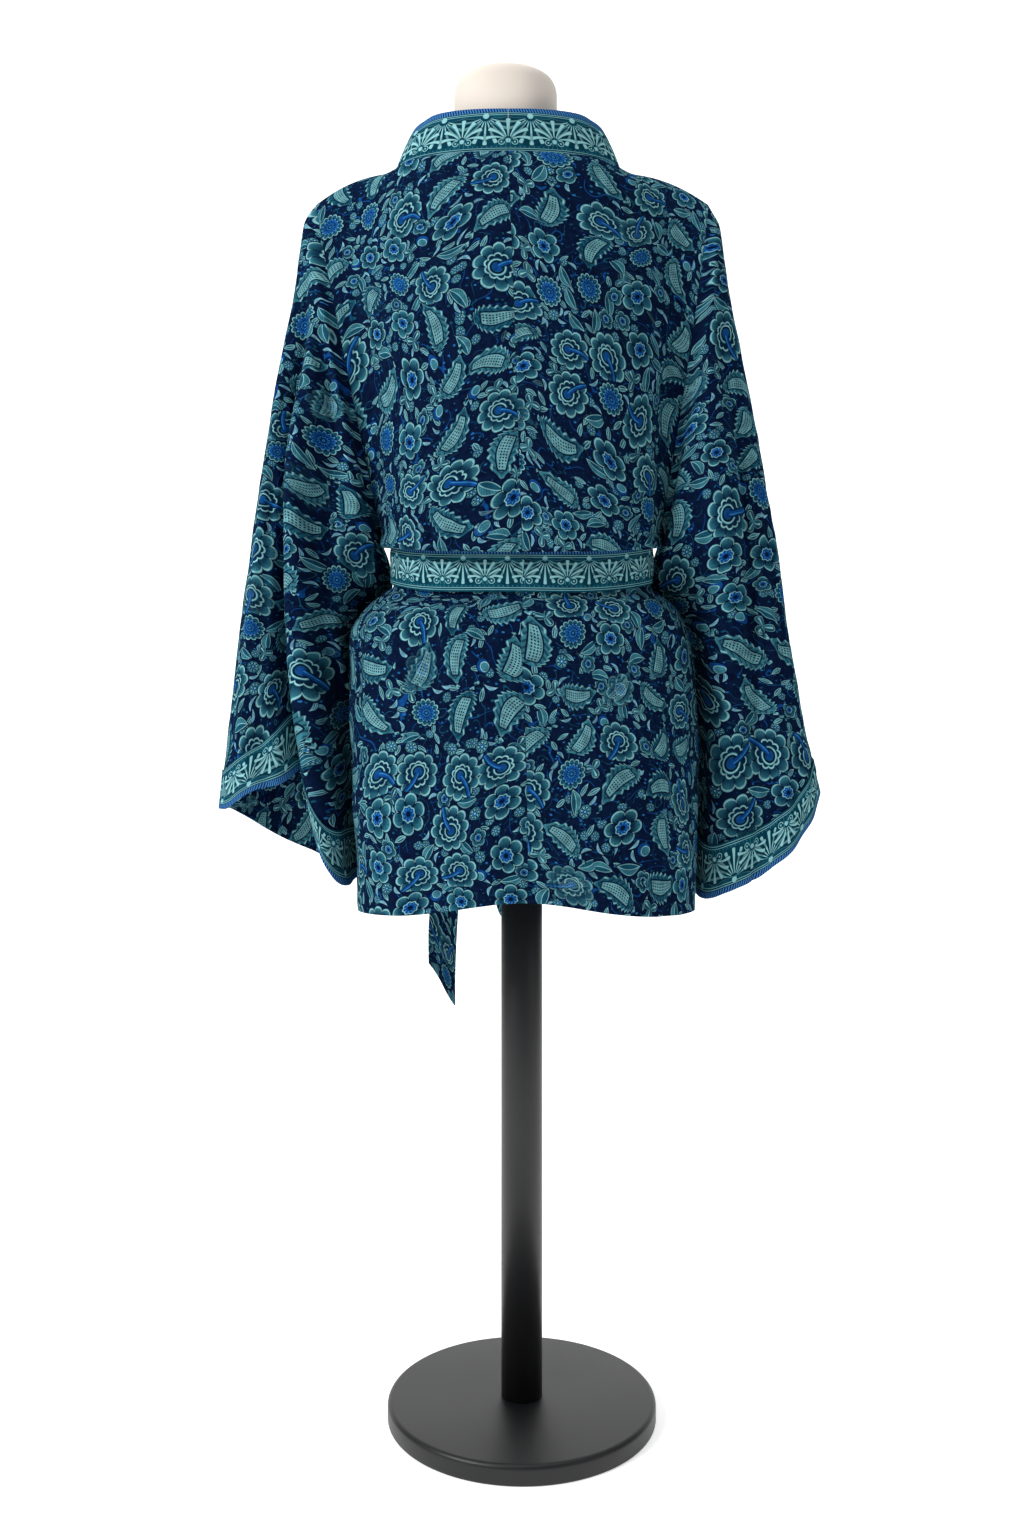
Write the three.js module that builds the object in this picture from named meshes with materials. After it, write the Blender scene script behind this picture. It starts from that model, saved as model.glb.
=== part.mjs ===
// A kimono jacket, tied with its own belt, on a limbless dress form with a pole and a round base.
// Millimetres, +Z up. The floor is z = 0 and the pole's axis is the z axis. The jacket's back faces -Y
// and its front faces +Y, so the wearer's left is at -X and the wearer's right is at +X.
import * as THREE from "three";

// Driving dimensions of the stand.
const BASE_RADIUS = 140;
const BASE_HEIGHT = 20;
const POLE_RADIUS = 21.5;
const FORM_BOTTOM = 715;

// Driving dimensions of the jacket.
const CLOTH = 1.6;
const BAND = 2;
const SEAM = 0.34;
const COLLAR_WIDTH = 50;
const CUFF_WIDTH = 45;
const BELT_WIDTH = 43;
const BELT_HEIGHT = 892;
const BELT_TILT = 24;
const BELT_CLEARANCE = 0.7;
const UNDERLAP_DEPTH = 5.6;

// Neckline and shoulder line. The back neckline is a half ellipse, and the shoulder line runs on from
// its ends.
const NECK = { x: -14, halfWidth: 119, depth: 70, backZ: 1290, sideZ: 1297, share: 0.5 };
const SHOULDER = { x: -10, halfWidth: 205, drop: 30, curve: 2.2 };
const ARMHOLE_DEPTH = 44;
const FRONT_NECK = { y: 62, z: 1252 };

// Grid of the cloth: quads between shoulder and underarm, and columns across half a back or one front.
const ARMHOLE_STEPS = 20;
const NECK_COLUMNS = 5;
const SHOULDER_COLUMNS = 6;
const BACK_COLUMNS = NECK_COLUMNS + SHOULDER_COLUMNS;
const FRONT_COLUMNS = 12;

// The body from the underarm down to the hem, one row for each section. z is the height at the sides
// and tilt is the share of the belt's slope in it. halfWidth, back and front are measured from the
// section's centre x. Above the belt the cloth blouses over the belt's upper edge.
const BODY = [
  { at: 0.0, z: 922, frontZ: 932, tilt: 0.95, halfWidth: 145, back: 119, front: 118, x: -1 },
  { at: 0.04, z: 912, frontZ: 926, tilt: 1.0, halfWidth: 146.5, back: 120.5, front: 117, x: -1 },
  { at: 0.07, z: 908, frontZ: 922, tilt: 1.0, halfWidth: 144.5, back: 117, front: 113.5, x: 0 },
  { at: 0.1, z: 911, frontZ: 918.5, tilt: 1.0, halfWidth: 141.5, back: 110, front: 109, x: 0 },
  { at: 0.13, z: 916.2, frontZ: 917.4, tilt: 1.0, halfWidth: 138.6, back: 104, front: 103.5, x: 0 },
  { at: 0.16, z: 915.6, frontZ: 915.4, tilt: 1.0, halfWidth: 134.6, back: 99.6, front: 98.3, x: 0 },
  { at: 0.19, z: 908, frontZ: 908, tilt: 1.0, halfWidth: 134, back: 99, front: 98, x: 0 },
  { at: 0.28, z: 868.5, frontZ: 868.5, tilt: 1.0, halfWidth: 134, back: 99, front: 98, x: 0 },
  { at: 0.32, z: 861, frontZ: 861, tilt: 0.97, halfWidth: 143, back: 107, front: 106, x: 0 },
  { at: 0.37, z: 846, frontZ: 846, tilt: 0.85, halfWidth: 161, back: 116, front: 114, x: -1 },
  { at: 0.43, z: 821, frontZ: 821, tilt: 0.65, halfWidth: 175, back: 123, front: 120, x: -2 },
  { at: 0.55, z: 762, frontZ: 762, tilt: 0.35, halfWidth: 181, back: 128, front: 125, x: 1 },
  { at: 0.78, z: 650, frontZ: 650, tilt: 0.0, halfWidth: 180, back: 131, front: 128, x: 4 },
  { at: 1.0, z: 531, frontZ: 531, tilt: 0.0, halfWidth: 175, back: 132, front: 130, x: 5 },
];
const BODY_STEPS = [0, 0.04, 0.07, 0.1, 0.13, 0.16, 0.19, 0.28, 0.32, 0.37, 0.43, 0.53, 0.65, 0.77, 0.89, 1];
const BELT_AT = 0.235;
const ROUNDNESS = 2.3;
const HEM_RISE = { height: 17, halfWidth: 62, from: 0.6 };

// Folds of the body. u runs from -1 at the left side to 1 at the right side, and level from 0 at the
// shoulder to 1 at the underarm and 2 at the hem. out is how far the fold stands out, or is sunk where
// it is negative.
const BACK_FOLDS = [
  {
    name: "left valley", u: -0.8, lowerU: -0.7, width: 0.11,
    out: -7, from: 0.2, full: 0.6, fades: 0.95, to: 1.1,
  },
  {
    name: "left blouse", u: -0.5, lowerU: -0.5, width: 0.16,
    out: 5, from: 0.55, full: 0.9, fades: 1.0, to: 1.12,
  },
  {
    name: "right valley", u: 0.82, lowerU: 0.74, width: 0.11,
    out: -6, from: 0.25, full: 0.7, fades: 0.95, to: 1.1,
  },
  {
    name: "left skirt trough", u: -0.34, lowerU: -0.38, width: 0.1,
    out: -5, from: 1.34, full: 1.5, fades: 1.85, to: 2.1,
  },
  {
    name: "centre hem trough", u: 0.0, lowerU: 0.02, width: 0.12,
    out: -7, from: 1.6, full: 2.0, fades: 2.1, to: 2.2,
  },
  {
    name: "right skirt ridge", u: 0.36, lowerU: 0.42, width: 0.11,
    out: 5, from: 1.34, full: 1.6, fades: 2.1, to: 2.2,
  },
  {
    name: "right side trough", u: 0.78, lowerU: 0.74, width: 0.1,
    out: -4, from: 1.34, full: 1.45, fades: 1.8, to: 2.1,
  },
];
const FRONT_FOLDS = [
  {
    name: "left skirt ridge", u: -0.55, lowerU: -0.6, width: 0.16,
    out: 5, from: 1.34, full: 1.6, fades: 2.1, to: 2.2,
  },
  {
    name: "right skirt ridge", u: 0.6, lowerU: 0.62, width: 0.16,
    out: 5, from: 1.34, full: 1.6, fades: 2.1, to: 2.2,
  },
];

// Where each front's edge meets its band, as the share u past the centre front. The left front lies
// over the right.
const FRONT_EDGE = [
  { level: 0.0, u: -0.5 },
  { level: 0.2, u: -0.45 },
  { level: 0.4, u: -0.34 },
  { level: 0.6, u: -0.18 },
  { level: 0.8, u: 0.02 },
  { level: 1.0, u: 0.2 },
  { level: 1.2, u: 0.32 },
  { level: 1.4, u: 0.36 },
  { level: 2.0, u: 0.38 },
];
// How the neckband leaves its seam: towards the centre, forwards and up. at counts 0 at the centre
// back, 1 at the side of the neck and 2 where the band lies flat on the chest.
const COLLAR_STAND = [
  { at: 0.0, inward: 0, forward: 9, up: 48 },
  { at: 0.45, inward: 9, forward: 11, up: 50 },
  { at: 0.75, inward: 21, forward: 9, up: 50 },
  { at: 1.0, inward: 17, forward: 5, up: 44 },
  { at: 1.3, inward: 24, forward: 10, up: 38 },
  { at: 2.0, inward: 40, forward: 10, up: 26 },
];
// The share of a sleeve from which its folds raise or lower the cloth by their whole rise.
const RISE_FULL = 0.86;
const FLAT_FROM_ROW = 9;

// The sleeves, one row for each section: its outer point on the fold below the shoulder, its inner
// point on the underarm side, the height of both, half its depth, and its middle along y.
const LEFT_SLEEVE = [
  { at: 0.0, outerX: -215, outerZ: 1267, innerX: -146, innerZ: 922, depth: 44, y: 0 },
  { at: 0.02, outerX: -220, outerZ: 1260, innerX: -152, innerZ: 912, depth: 47, y: -1 },
  { at: 0.05, outerX: -227, outerZ: 1246, innerX: -151, innerZ: 899, depth: 52, y: -3 },
  { at: 0.1, outerX: -232, outerZ: 1211, innerX: -144, innerZ: 885, depth: 56, y: -4 },
  { at: 0.16, outerX: -238, outerZ: 1168, innerX: -143, innerZ: 871, depth: 59, y: -5 },
  { at: 0.24, outerX: -249, outerZ: 1112, innerX: -167, innerZ: 845, depth: 59, y: -4 },
  { at: 0.34, outerX: -262, outerZ: 1042, innerX: -181, innerZ: 810, depth: 58, y: -3 },
  { at: 0.52, outerX: -282, outerZ: 916, innerX: -179, innerZ: 752, depth: 54, y: 0 },
  { at: 0.7, outerX: -299, outerZ: 790, innerX: -178, innerZ: 690, depth: 51, y: 2 },
  { at: 0.88, outerX: -312, outerZ: 675, innerX: -176, innerZ: 616, depth: 47, y: 4 },
  { at: 1.0, outerX: -316, outerZ: 638, innerX: -174, innerZ: 564, depth: 44, y: 4 },
];
const RIGHT_SLEEVE = [
  { at: 0.0, outerX: 195, outerZ: 1267, innerX: 144, innerZ: 922, depth: 44, y: 0 },
  { at: 0.02, outerX: 199, outerZ: 1259, innerX: 150, innerZ: 912, depth: 47, y: -1 },
  { at: 0.05, outerX: 206, outerZ: 1244, innerX: 149, innerZ: 899, depth: 52, y: -3 },
  { at: 0.1, outerX: 211, outerZ: 1210, innerX: 141, innerZ: 884, depth: 56, y: -4 },
  { at: 0.16, outerX: 217, outerZ: 1168, innerX: 138, innerZ: 870, depth: 59, y: -5 },
  { at: 0.24, outerX: 228, outerZ: 1112, innerX: 164, innerZ: 845, depth: 59, y: -4 },
  { at: 0.34, outerX: 242, outerZ: 1042, innerX: 181, innerZ: 811, depth: 58, y: -3 },
  { at: 0.52, outerX: 264, outerZ: 916, innerX: 185, innerZ: 754, depth: 54, y: 0 },
  { at: 0.7, outerX: 284, outerZ: 790, innerX: 188, innerZ: 691, depth: 51, y: 2 },
  { at: 0.88, outerX: 305, outerZ: 684, innerX: 189, innerZ: 620, depth: 47, y: 4 },
  { at: 1.0, outerX: 312, outerZ: 654, innerX: 188, innerZ: 568, depth: 44, y: 4 },
];
// Folds of the sleeves. angle is 0 at the outer fold, 90 in the middle of the back, 180 at the
// underarm seam and 270 in the middle of the front; a fold runs from angle at the shoulder to
// lowerAngle at the cuff, and bends where power isn't 1. lean pushes a fold over towards the outer
// edge, rise lifts the cuff's edge there, and forward moves the cloth towards the front.
const LEFT_SLEEVE_FOLDS = [
  {
    name: "outer back valley", angle: 34, lowerAngle: 112, power: 1, width: 13,
    out: -31, lean: 0, rise: 54, forward: 0, from: 0.02, full: 0.26, fades: 2,
  },
  {
    name: "back ridge", angle: 40, lowerAngle: 144, power: 0.8, width: 16,
    out: 20, lean: 17, rise: -18, forward: 0, from: 0.04, full: 0.35, fades: 2,
  },
  {
    name: "inner back valley", angle: 34, lowerAngle: 190, power: 0.6, width: 13,
    out: -16, lean: 0, rise: 0, forward: 0, from: 0.02, full: 0.16, fades: 0.55,
  },
  {
    name: "outer edge", angle: 20, lowerAngle: 36, power: 1, width: 24,
    out: 2, lean: 0, rise: -6, forward: 0, from: 0.4, full: 0.9, fades: 2,
  },
  {
    name: "front trough", angle: 235, lowerAngle: 235, power: 1, width: 17,
    out: -13, lean: 0, rise: 0, forward: 0, from: 0.05, full: 0.5, fades: 2,
  },
  {
    name: "front ridge", angle: 285, lowerAngle: 285, power: 1, width: 20,
    out: 9, lean: 0, rise: -8, forward: 0, from: 0.1, full: 0.6, fades: 2,
  },
  {
    name: "outer strip", angle: 62, lowerAngle: 84, power: 1, width: 27,
    out: 0, lean: 0, rise: 50, forward: 0, from: 0.3, full: 0.9, fades: 2,
  },
  {
    name: "underarm side", angle: 183, lowerAngle: 183, power: 1, width: 21,
    out: 0, lean: 0, rise: 0, forward: 44, from: 0, full: 0.08, fades: 2,
  },
  {
    name: "underarm tuck", angle: 196, lowerAngle: 196, power: 1, width: 11,
    out: 0, lean: -9, rise: 0, forward: 0, from: 0, full: 0.04, fades: 0.1,
  },
];
const RIGHT_SLEEVE_FOLDS = [
  {
    name: "inner back ridge", angle: 70, lowerAngle: 150, power: 0.7, width: 19,
    out: 12, lean: 3, rise: -18, forward: 0, from: 0.02, full: 0.3, fades: 2,
  },
  {
    name: "soft back valley", angle: 40, lowerAngle: 108, power: 0.8, width: 15,
    out: -11, lean: 0, rise: -10, forward: 0, from: 0.05, full: 0.4, fades: 2,
  },
  {
    name: "outer back ridge", angle: 30, lowerAngle: 66, power: 1, width: 24,
    out: 4, lean: 0, rise: -22, forward: 0, from: 0.2, full: 0.8, fades: 2,
  },
  {
    name: "cuff sag", angle: 105, lowerAngle: 105, power: 1, width: 36,
    out: 0, lean: 0, rise: -24, forward: 0, from: 0, full: 1, fades: 2,
  },
  {
    name: "front trough", angle: 240, lowerAngle: 240, power: 1, width: 17,
    out: -13, lean: 0, rise: 0, forward: 0, from: 0.05, full: 0.5, fades: 2,
  },
  {
    name: "front ridge", angle: 290, lowerAngle: 290, power: 1, width: 20,
    out: 8, lean: 0, rise: -8, forward: 0, from: 0.1, full: 0.6, fades: 2,
  },
  {
    name: "underarm side", angle: 183, lowerAngle: 183, power: 1, width: 21,
    out: 0, lean: 0, rise: 0, forward: 44, from: 0, full: 0.08, fades: 2,
  },
  {
    name: "underarm tuck", angle: 196, lowerAngle: 196, power: 1, width: 11,
    out: 0, lean: -9, rise: 0, forward: 0, from: 0, full: 0.04, fades: 0.1,
  },
];
const SLEEVE_STEPS = [0, 0.02, 0.05, 0.1, 0.16, 0.24, 0.33, 0.43, 0.53, 0.63, 0.73, 0.82];
const CUFF_STEPS = 2;
const CUFF_BAND = 1.2;
const CUFF_LIFT = 0.5;

// The dress form, one row for each section from its flat underside to the top of its neck.
const FORM = [
  { z: 715, halfWidth: 152, back: 104, front: 96, x: 0, y: 0 },
  { z: 760, halfWidth: 158, back: 110, front: 100, x: 0, y: 0 },
  { z: 800, halfWidth: 154, back: 106, front: 98, x: 0, y: 0 },
  { z: 850, halfWidth: 134, back: 93, front: 90, x: 0, y: 0 },
  { z: 900, halfWidth: 121, back: 84, front: 84, x: -1, y: 0 },
  { z: 945, halfWidth: 121, back: 84, front: 88, x: -2, y: 0 },
  { z: 1000, halfWidth: 131, back: 90, front: 98, x: -4, y: 0 },
  { z: 1060, halfWidth: 143, back: 97, front: 104, x: -6, y: 0 },
  { z: 1120, halfWidth: 153, back: 102, front: 97, x: -8, y: 0 },
  { z: 1175, halfWidth: 163, back: 92, front: 80, x: -9, y: 0 },
  { z: 1215, halfWidth: 171, back: 74, front: 62, x: -10, y: 0 },
  { z: 1245, halfWidth: 178, back: 63, front: 53, x: -10.8, y: 0 },
  { z: 1267.1, halfWidth: 170, back: 58, front: 50, x: -10.8, y: 0 },
  { z: 1280.1, halfWidth: 152, back: 54, front: 49, x: -10.8, y: 0 },
  { z: 1288.1, halfWidth: 125, back: 52, front: 49, x: -11.5, y: 0 },
  { z: 1291, halfWidth: 97, back: 52, front: 50, x: -13, y: 0 },
  { z: 1297, halfWidth: 75, back: 52, front: 50, x: -15, y: 0 },
  { z: 1305, halfWidth: 61, back: 52.5, front: 50.5, x: -16, y: 0 },
  { z: 1318, halfWidth: 56, back: 53, front: 51, x: -17, y: 0 },
  { z: 1345, halfWidth: 54, back: 52, front: 51, x: -17, y: 0 },
  { z: 1381, halfWidth: 54, back: 52, front: 51, x: -17, y: 0 },
  { z: 1388.5, halfWidth: 52, back: 50, front: 49, x: -17, y: 0 },
  { z: 1393.5, halfWidth: 46, back: 44, front: 43, x: -17, y: 0 },
  { z: 1397, halfWidth: 32, back: 30, front: 29, x: -17, y: 0 },
];
const FORM_SIDES = 28;
const FORM_ROUNDNESS = 2.1;

// The belt's knot and tails on the front. Each tail hangs from the knot; turn is about the vertical,
// in degrees.
const KNOT = { x: -54, width: 54, height: 45, depth: 26, lowered: 5 };
const TAILS = [
  { name: "belt_tail_left", x: -67, topY: 112, lowX: -92, lowY: 150, bottom: 397, turn: 46, slant: 55 },
  { name: "belt_tail_right", x: -41, topY: 112, lowX: -30, lowY: 152, bottom: 502, turn: 69, slant: 44 },
];
const TAIL_STEPS = 9;

const COLOURS = {
  print: new THREE.Color(0.06, 0.14, 0.26),
  border: new THREE.Color(0.1, 0.36, 0.38),
  jersey: new THREE.Color(0.86, 0.82, 0.76),
  steel: new THREE.Color(0.035, 0.037, 0.042),
};

// Numbers and curves.

const radians = (degrees) => (degrees * Math.PI) / 180;
const mix = (a, b, share) => a + (b - a) * share;
const vector = (x, y, z) => new THREE.Vector3(x, y, z);

function smooth(from, to, value) {
  const share = Math.min(1, Math.max(0, (value - from) / (to - from)));
  return share * share * (3 - 2 * share);
}

function bump(distance, width) {
  return Math.exp(-0.5 * (distance / width) ** 2);
}

// The value of one column of a table between its rows, on a smooth curve through them.
function along(rows, column, value, key = "at") {
  const last = rows.length - 1;
  if (value <= rows[0][key]) return rows[0][column];
  if (value >= rows[last][key]) return rows[last][column];
  let i = 0;
  while (rows[i + 1][key] < value) i += 1;
  const slope = (a) => (rows[a + 1][column] - rows[a][column]) / (rows[a + 1][key] - rows[a][key]);
  const span = rows[i + 1][key] - rows[i][key];
  const start = span * (i === 0 ? slope(0) : joined(slope(i - 1), slope(i)));
  const end = span * (i + 1 === last ? slope(i) : joined(slope(i), slope(i + 1)));
  const t = (value - rows[i][key]) / span;
  const [a, b] = [rows[i][column], rows[i + 1][column]];
  return a + t * (start + t * (3 * (b - a) - 2 * start - end + t * (2 * (a - b) + start + end)));
}

// The slope at a row between two slopes: 0 where they turn, so that the curve never swings past its rows.
function joined(before, after) {
  return before * after <= 0 ? 0 : (2 * before * after) / (before + after);
}

// A point of a rounded section, at an angle from its back.
function roundedSection(section, angle, roundness) {
  const power = 2 / roundness;
  const [s, c] = [Math.sin(angle), Math.cos(angle)];
  const depth = c > 0 ? section.back : section.front;
  return {
    x: section.x + section.halfWidth * Math.sign(s) * Math.abs(s) ** power,
    y: -depth * Math.sign(c) * Math.abs(c) ** power,
  };
}

// The body of the jacket.

function foldOut(folds, u, level) {
  let out = 0;
  for (const fold of folds) {
    const centre = mix(fold.u, fold.lowerU, smooth(fold.from, fold.to, level));
    const rise = smooth(fold.from, fold.full, level) * (1 - smooth(fold.fades, fold.to, level));
    out += fold.out * rise * bump(u - centre, fold.width);
  }
  return out * (1 - Math.abs(u) ** 16);
}

function bodySection(down) {
  const section = {};
  for (const column of ["z", "frontZ", "tilt", "halfWidth", "back", "front", "x"]) {
    section[column] = along(BODY, column, down);
  }
  return section;
}

// A point below the underarm. u is signed, and face is 1 for the back and -1 for the front.
function lowerPoint(face, u, down) {
  const section = bodySection(down);
  const angle = face > 0 ? u * Math.PI * 0.5 : Math.PI - u * Math.PI * 0.5;
  const place = roundedSection(section, angle, ROUNDNESS);
  const rise = HEM_RISE.height * smooth(HEM_RISE.from, 1, down) * bump(place.x, HEM_RISE.halfWidth);
  const height = face > 0 ? section.z + rise : mix(section.frontZ, section.z, smooth(0.7, 1, Math.abs(u)));
  return vector(place.x, place.y, height - section.tilt * BELT_TILT * Math.cos(angle));
}

// A point of the neckline and the shoulder line.
function topPoint(face, u) {
  const side = Math.sign(u) || 1;
  const share = Math.abs(u) / NECK.share;
  if (share < 1) {
    const angle = share * Math.PI * 0.5;
    const fall = Math.cos(angle) ** 2;
    const y = face > 0 ? -NECK.depth * Math.cos(angle) : FRONT_NECK.y * Math.cos(angle);
    const endZ = face > 0 ? NECK.backZ : FRONT_NECK.z;
    return vector(NECK.x + side * NECK.halfWidth * Math.sin(angle), y, mix(NECK.sideZ, endZ, fall));
  }
  const past = (Math.abs(u) - NECK.share) / (1 - NECK.share);
  const neckX = NECK.x + side * NECK.halfWidth;
  const tipX = SHOULDER.x + side * SHOULDER.halfWidth;
  return vector(mix(neckX, tipX, past), 0, NECK.sideZ - SHOULDER.drop * past ** SHOULDER.curve);
}

// The neckline and shoulder line, smoothed over a share of the width that grows down the cloth.
function softTopPoint(face, u, level) {
  const reach = Math.min(0.3, 1.1 * level, 1 - Math.abs(u));
  const mean = vector(0, 0, 0);
  for (const step of [-1, -0.5, 0, 0.5, 1]) mean.addScaledVector(topPoint(face, u + step * reach), 0.2);
  return mean;
}

// A point of the body. level is 0 at the shoulder, 1 at the underarm and 2 at the hem.
function bodyPoint(face, u, level) {
  let point;
  const angle = u * Math.PI * 0.5;
  if (level >= 1) {
    point = lowerPoint(face, u, level - 1);
  } else {
    const [top, low] = [softTopPoint(face, u, level), lowerPoint(face, u, 0)];
    const turn = level * Math.PI;
    const down = (1 - Math.cos(turn)) / 2;
    const roll = Math.sin(Math.min(turn, Math.PI / 2));
    point = vector(mix(top.x, low.x, down), mix(top.y, low.y, roll), mix(top.z, low.z, down));
    point.y -= face * ARMHOLE_DEPTH * Math.sin(turn) * Math.abs(u) ** 6;
  }
  const out = foldOut(face > 0 ? BACK_FOLDS : FRONT_FOLDS, u, level);
  const direction = vector(0.4 * Math.sin(angle), -face * Math.max(0.3, Math.cos(angle)), 0).normalize();
  return point.addScaledVector(direction, out);
}

// A point at a depth under the body's cloth, measured square to it.
function underBody(face, u, level, depth) {
  const point = bodyPoint(face, u, level);
  if (depth === 0) return point;
  const small = 0.002;
  const down = bodyPoint(face, u, level + small).sub(bodyPoint(face, u, Math.max(0, level - small)));
  const near = bodyPoint(face, Math.max(-1, u - small), level);
  const across = bodyPoint(face, Math.min(1, u + small), level).sub(near);
  return point.addScaledVector(across.cross(down).normalize(), face * depth);
}

// The sleeves.

function sleevePoint(rows, folds, degrees, at) {
  const outer = vector(along(rows, "outerX", at), 0, along(rows, "outerZ", at));
  const inner = vector(along(rows, "innerX", at), 0, along(rows, "innerZ", at));
  const depth = along(rows, "depth", at);
  const axis = outer.clone().sub(inner).multiplyScalar(0.5);
  const length = axis.length();
  const across = axis.clone().normalize();
  const angle = radians(degrees);
  const [s, c] = [Math.sin(angle), Math.cos(angle)];
  const point = outer.clone().add(inner).multiplyScalar(0.5).addScaledVector(axis, c);
  point.y = along(rows, "y", at) - depth * s;
  const normal = across.clone().multiplyScalar(depth * c);
  normal.y -= length * s;
  normal.normalize();
  for (const fold of folds) {
    const centre = mix(fold.angle, fold.lowerAngle, at ** fold.power);
    const turned = ((degrees - centre + 540) % 360) - 180;
    const rising = smooth(fold.from, fold.full, at) * (1 - smooth(fold.fades, fold.fades + 0.35, at));
    const height = bump(turned, fold.width) * rising;
    point.addScaledVector(normal, fold.out * height).addScaledVector(across, fold.lean * height);
    point.y += fold.forward * height;
    point.z += fold.rise * height * Math.min(1, at / RISE_FULL) ** 4;
  }
  return point;
}

// Closed walls from grids of points.

// The directions that face out of a grid at its points: away from a ring's middle, or from the z axis.
function gridNormals(grid, ring) {
  const [rows, columns] = [grid.length, grid[0].length];
  let facing = 0;
  const normals = grid.map((row, r) => {
    const middle = vector(0, 0, 0);
    row.forEach((p) => middle.addScaledVector(p, 1 / columns));
    return row.map((p, c) => {
      const left = ring ? (c + columns - 1) % columns : Math.max(0, c - 1);
      const right = ring ? (c + 1) % columns : Math.min(columns - 1, c + 1);
      const across = row[right].clone().sub(row[left]);
      const down = grid[Math.min(rows - 1, r + 1)][c].clone().sub(grid[Math.max(0, r - 1)][c]);
      const normal = across.cross(down).normalize();
      facing += normal.dot(ring ? p.clone().sub(middle) : vector(p.x, p.y, 0));
      return normal;
    });
  });
  normals.flat().forEach((normal) => normal.multiplyScalar(Math.sign(facing)));
  return normals;
}

// Moves the border of a grid in, by half a seam's gap unless the part says otherwise.
function insetEdges({ grid, edges, inset = SEAM / 2 }) {
  const step = (from, to) => from.addScaledVector(to.clone().sub(from).normalize(), inset);
  const last = grid.length - 1;
  if (edges.includes("top")) grid[0].forEach((p, c) => step(p, grid[1][c]));
  if (edges.includes("bottom")) grid[last].forEach((p, c) => step(p, grid[last - 1][c]));
  const end = grid[0].length - 1;
  if (edges.includes("first")) grid.forEach((row) => step(row[0], row[1]));
  if (edges.includes("last")) grid.forEach((row) => step(row[end], row[end - 1]));
}

// A closed solid between an outer grid and the same grid moved in by the wall's thickness.
function wall(outer, normals, thickness, ring) {
  const [rows, columns] = [outer.length, outer[0].length];
  const moved = (point, normal) => point.clone().addScaledVector(normal, -thickness);
  const inner = outer.map((row, r) => row.map((point, c) => moved(point, normals[r][c])));
  const positions = [outer, inner].flat(2).flatMap((p) => [p.x, p.y, p.z]);
  const at = (side, r, c) => (side * rows + r) * columns + (c % columns);
  const index = [];
  const quad = (a, b, c, d) => index.push(a, b, c, a, c, d);
  const spans = ring ? columns : columns - 1;
  for (let c = 0; c < spans; c += 1) {
    for (let r = 0; r < rows - 1; r += 1) {
      quad(at(0, r, c), at(0, r + 1, c), at(0, r + 1, c + 1), at(0, r, c + 1));
      quad(at(1, r, c), at(1, r, c + 1), at(1, r + 1, c + 1), at(1, r + 1, c));
    }
    quad(at(0, 0, c), at(0, 0, c + 1), at(1, 0, c + 1), at(1, 0, c));
    quad(at(0, rows - 1, c + 1), at(0, rows - 1, c), at(1, rows - 1, c), at(1, rows - 1, c + 1));
  }
  for (let r = 0; !ring && r < rows - 1; r += 1) {
    quad(at(0, r + 1, 0), at(0, r, 0), at(1, r, 0), at(1, r + 1, 0));
    quad(at(0, r, columns - 1), at(0, r + 1, columns - 1), at(1, r + 1, columns - 1), at(1, r, columns - 1));
  }
  return facingOut(positions, index);
}

function facingOut(positions, index) {
  const point = (i) => vector(positions[3 * i], positions[3 * i + 1], positions[3 * i + 2]);
  let volume = 0;
  for (let i = 0; i < index.length; i += 3)
    volume += point(index[i]).dot(point(index[i + 1]).cross(point(index[i + 2])));
  if (volume < 0)
    for (let i = 0; i < index.length; i += 3) [index[i + 1], index[i + 2]] = [index[i + 2], index[i + 1]];
  const geometry = new THREE.BufferGeometry();
  geometry.setAttribute("position", new THREE.Float32BufferAttribute(positions, 3));
  geometry.setIndex(index);
  geometry.computeVertexNormals();
  return geometry;
}

// A closed solid through rings of points, with flat ends.
function loft(rings) {
  const count = rings[0].length;
  const positions = rings.flat().flatMap((p) => [p.x, p.y, p.z]);
  const index = [];
  for (let r = 0; r < rings.length - 1; r += 1)
    for (let c = 0; c < count; c += 1) {
      const [a, b] = [r * count + c, r * count + ((c + 1) % count)];
      index.push(a, b, b + count, a, b + count, a + count);
    }
  const lastRing = (rings.length - 1) * count;
  for (let c = 1; c < count - 1; c += 1)
    index.push(0, c + 1, c, lastRing, lastRing + c, lastRing + c + 1);
  return facingOut(positions, index);
}

// The pieces.

const levels = [
  ...Array.from({ length: ARMHOLE_STEPS }, (_, i) => i / ARMHOLE_STEPS),
  ...BODY_STEPS.map((down) => 1 + down),
];

// Where the columns of a back lie: the first ones along the neckline and the rest along the shoulder
// line.
const backColumns = Array.from({ length: NECK_COLUMNS + SHOULDER_COLUMNS + 1 }, (_, c) =>
  c <= NECK_COLUMNS
    ? (NECK.share * c) / NECK_COLUMNS
    : mix(NECK.share, 1, (c - NECK_COLUMNS) / SHOULDER_COLUMNS),
);

// The direction that faces up from the shoulder line, square to it.
function shoulderNormal(u) {
  const small = 0.01;
  const inner = Math.max(NECK.share, Math.abs(u) - small);
  const end = Math.min(1, inner + 2 * small);
  const run = topPoint(1, end).sub(topPoint(1, end - small));
  return vector(-run.z * Math.sign(u), 0, run.x).normalize();
}

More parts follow.
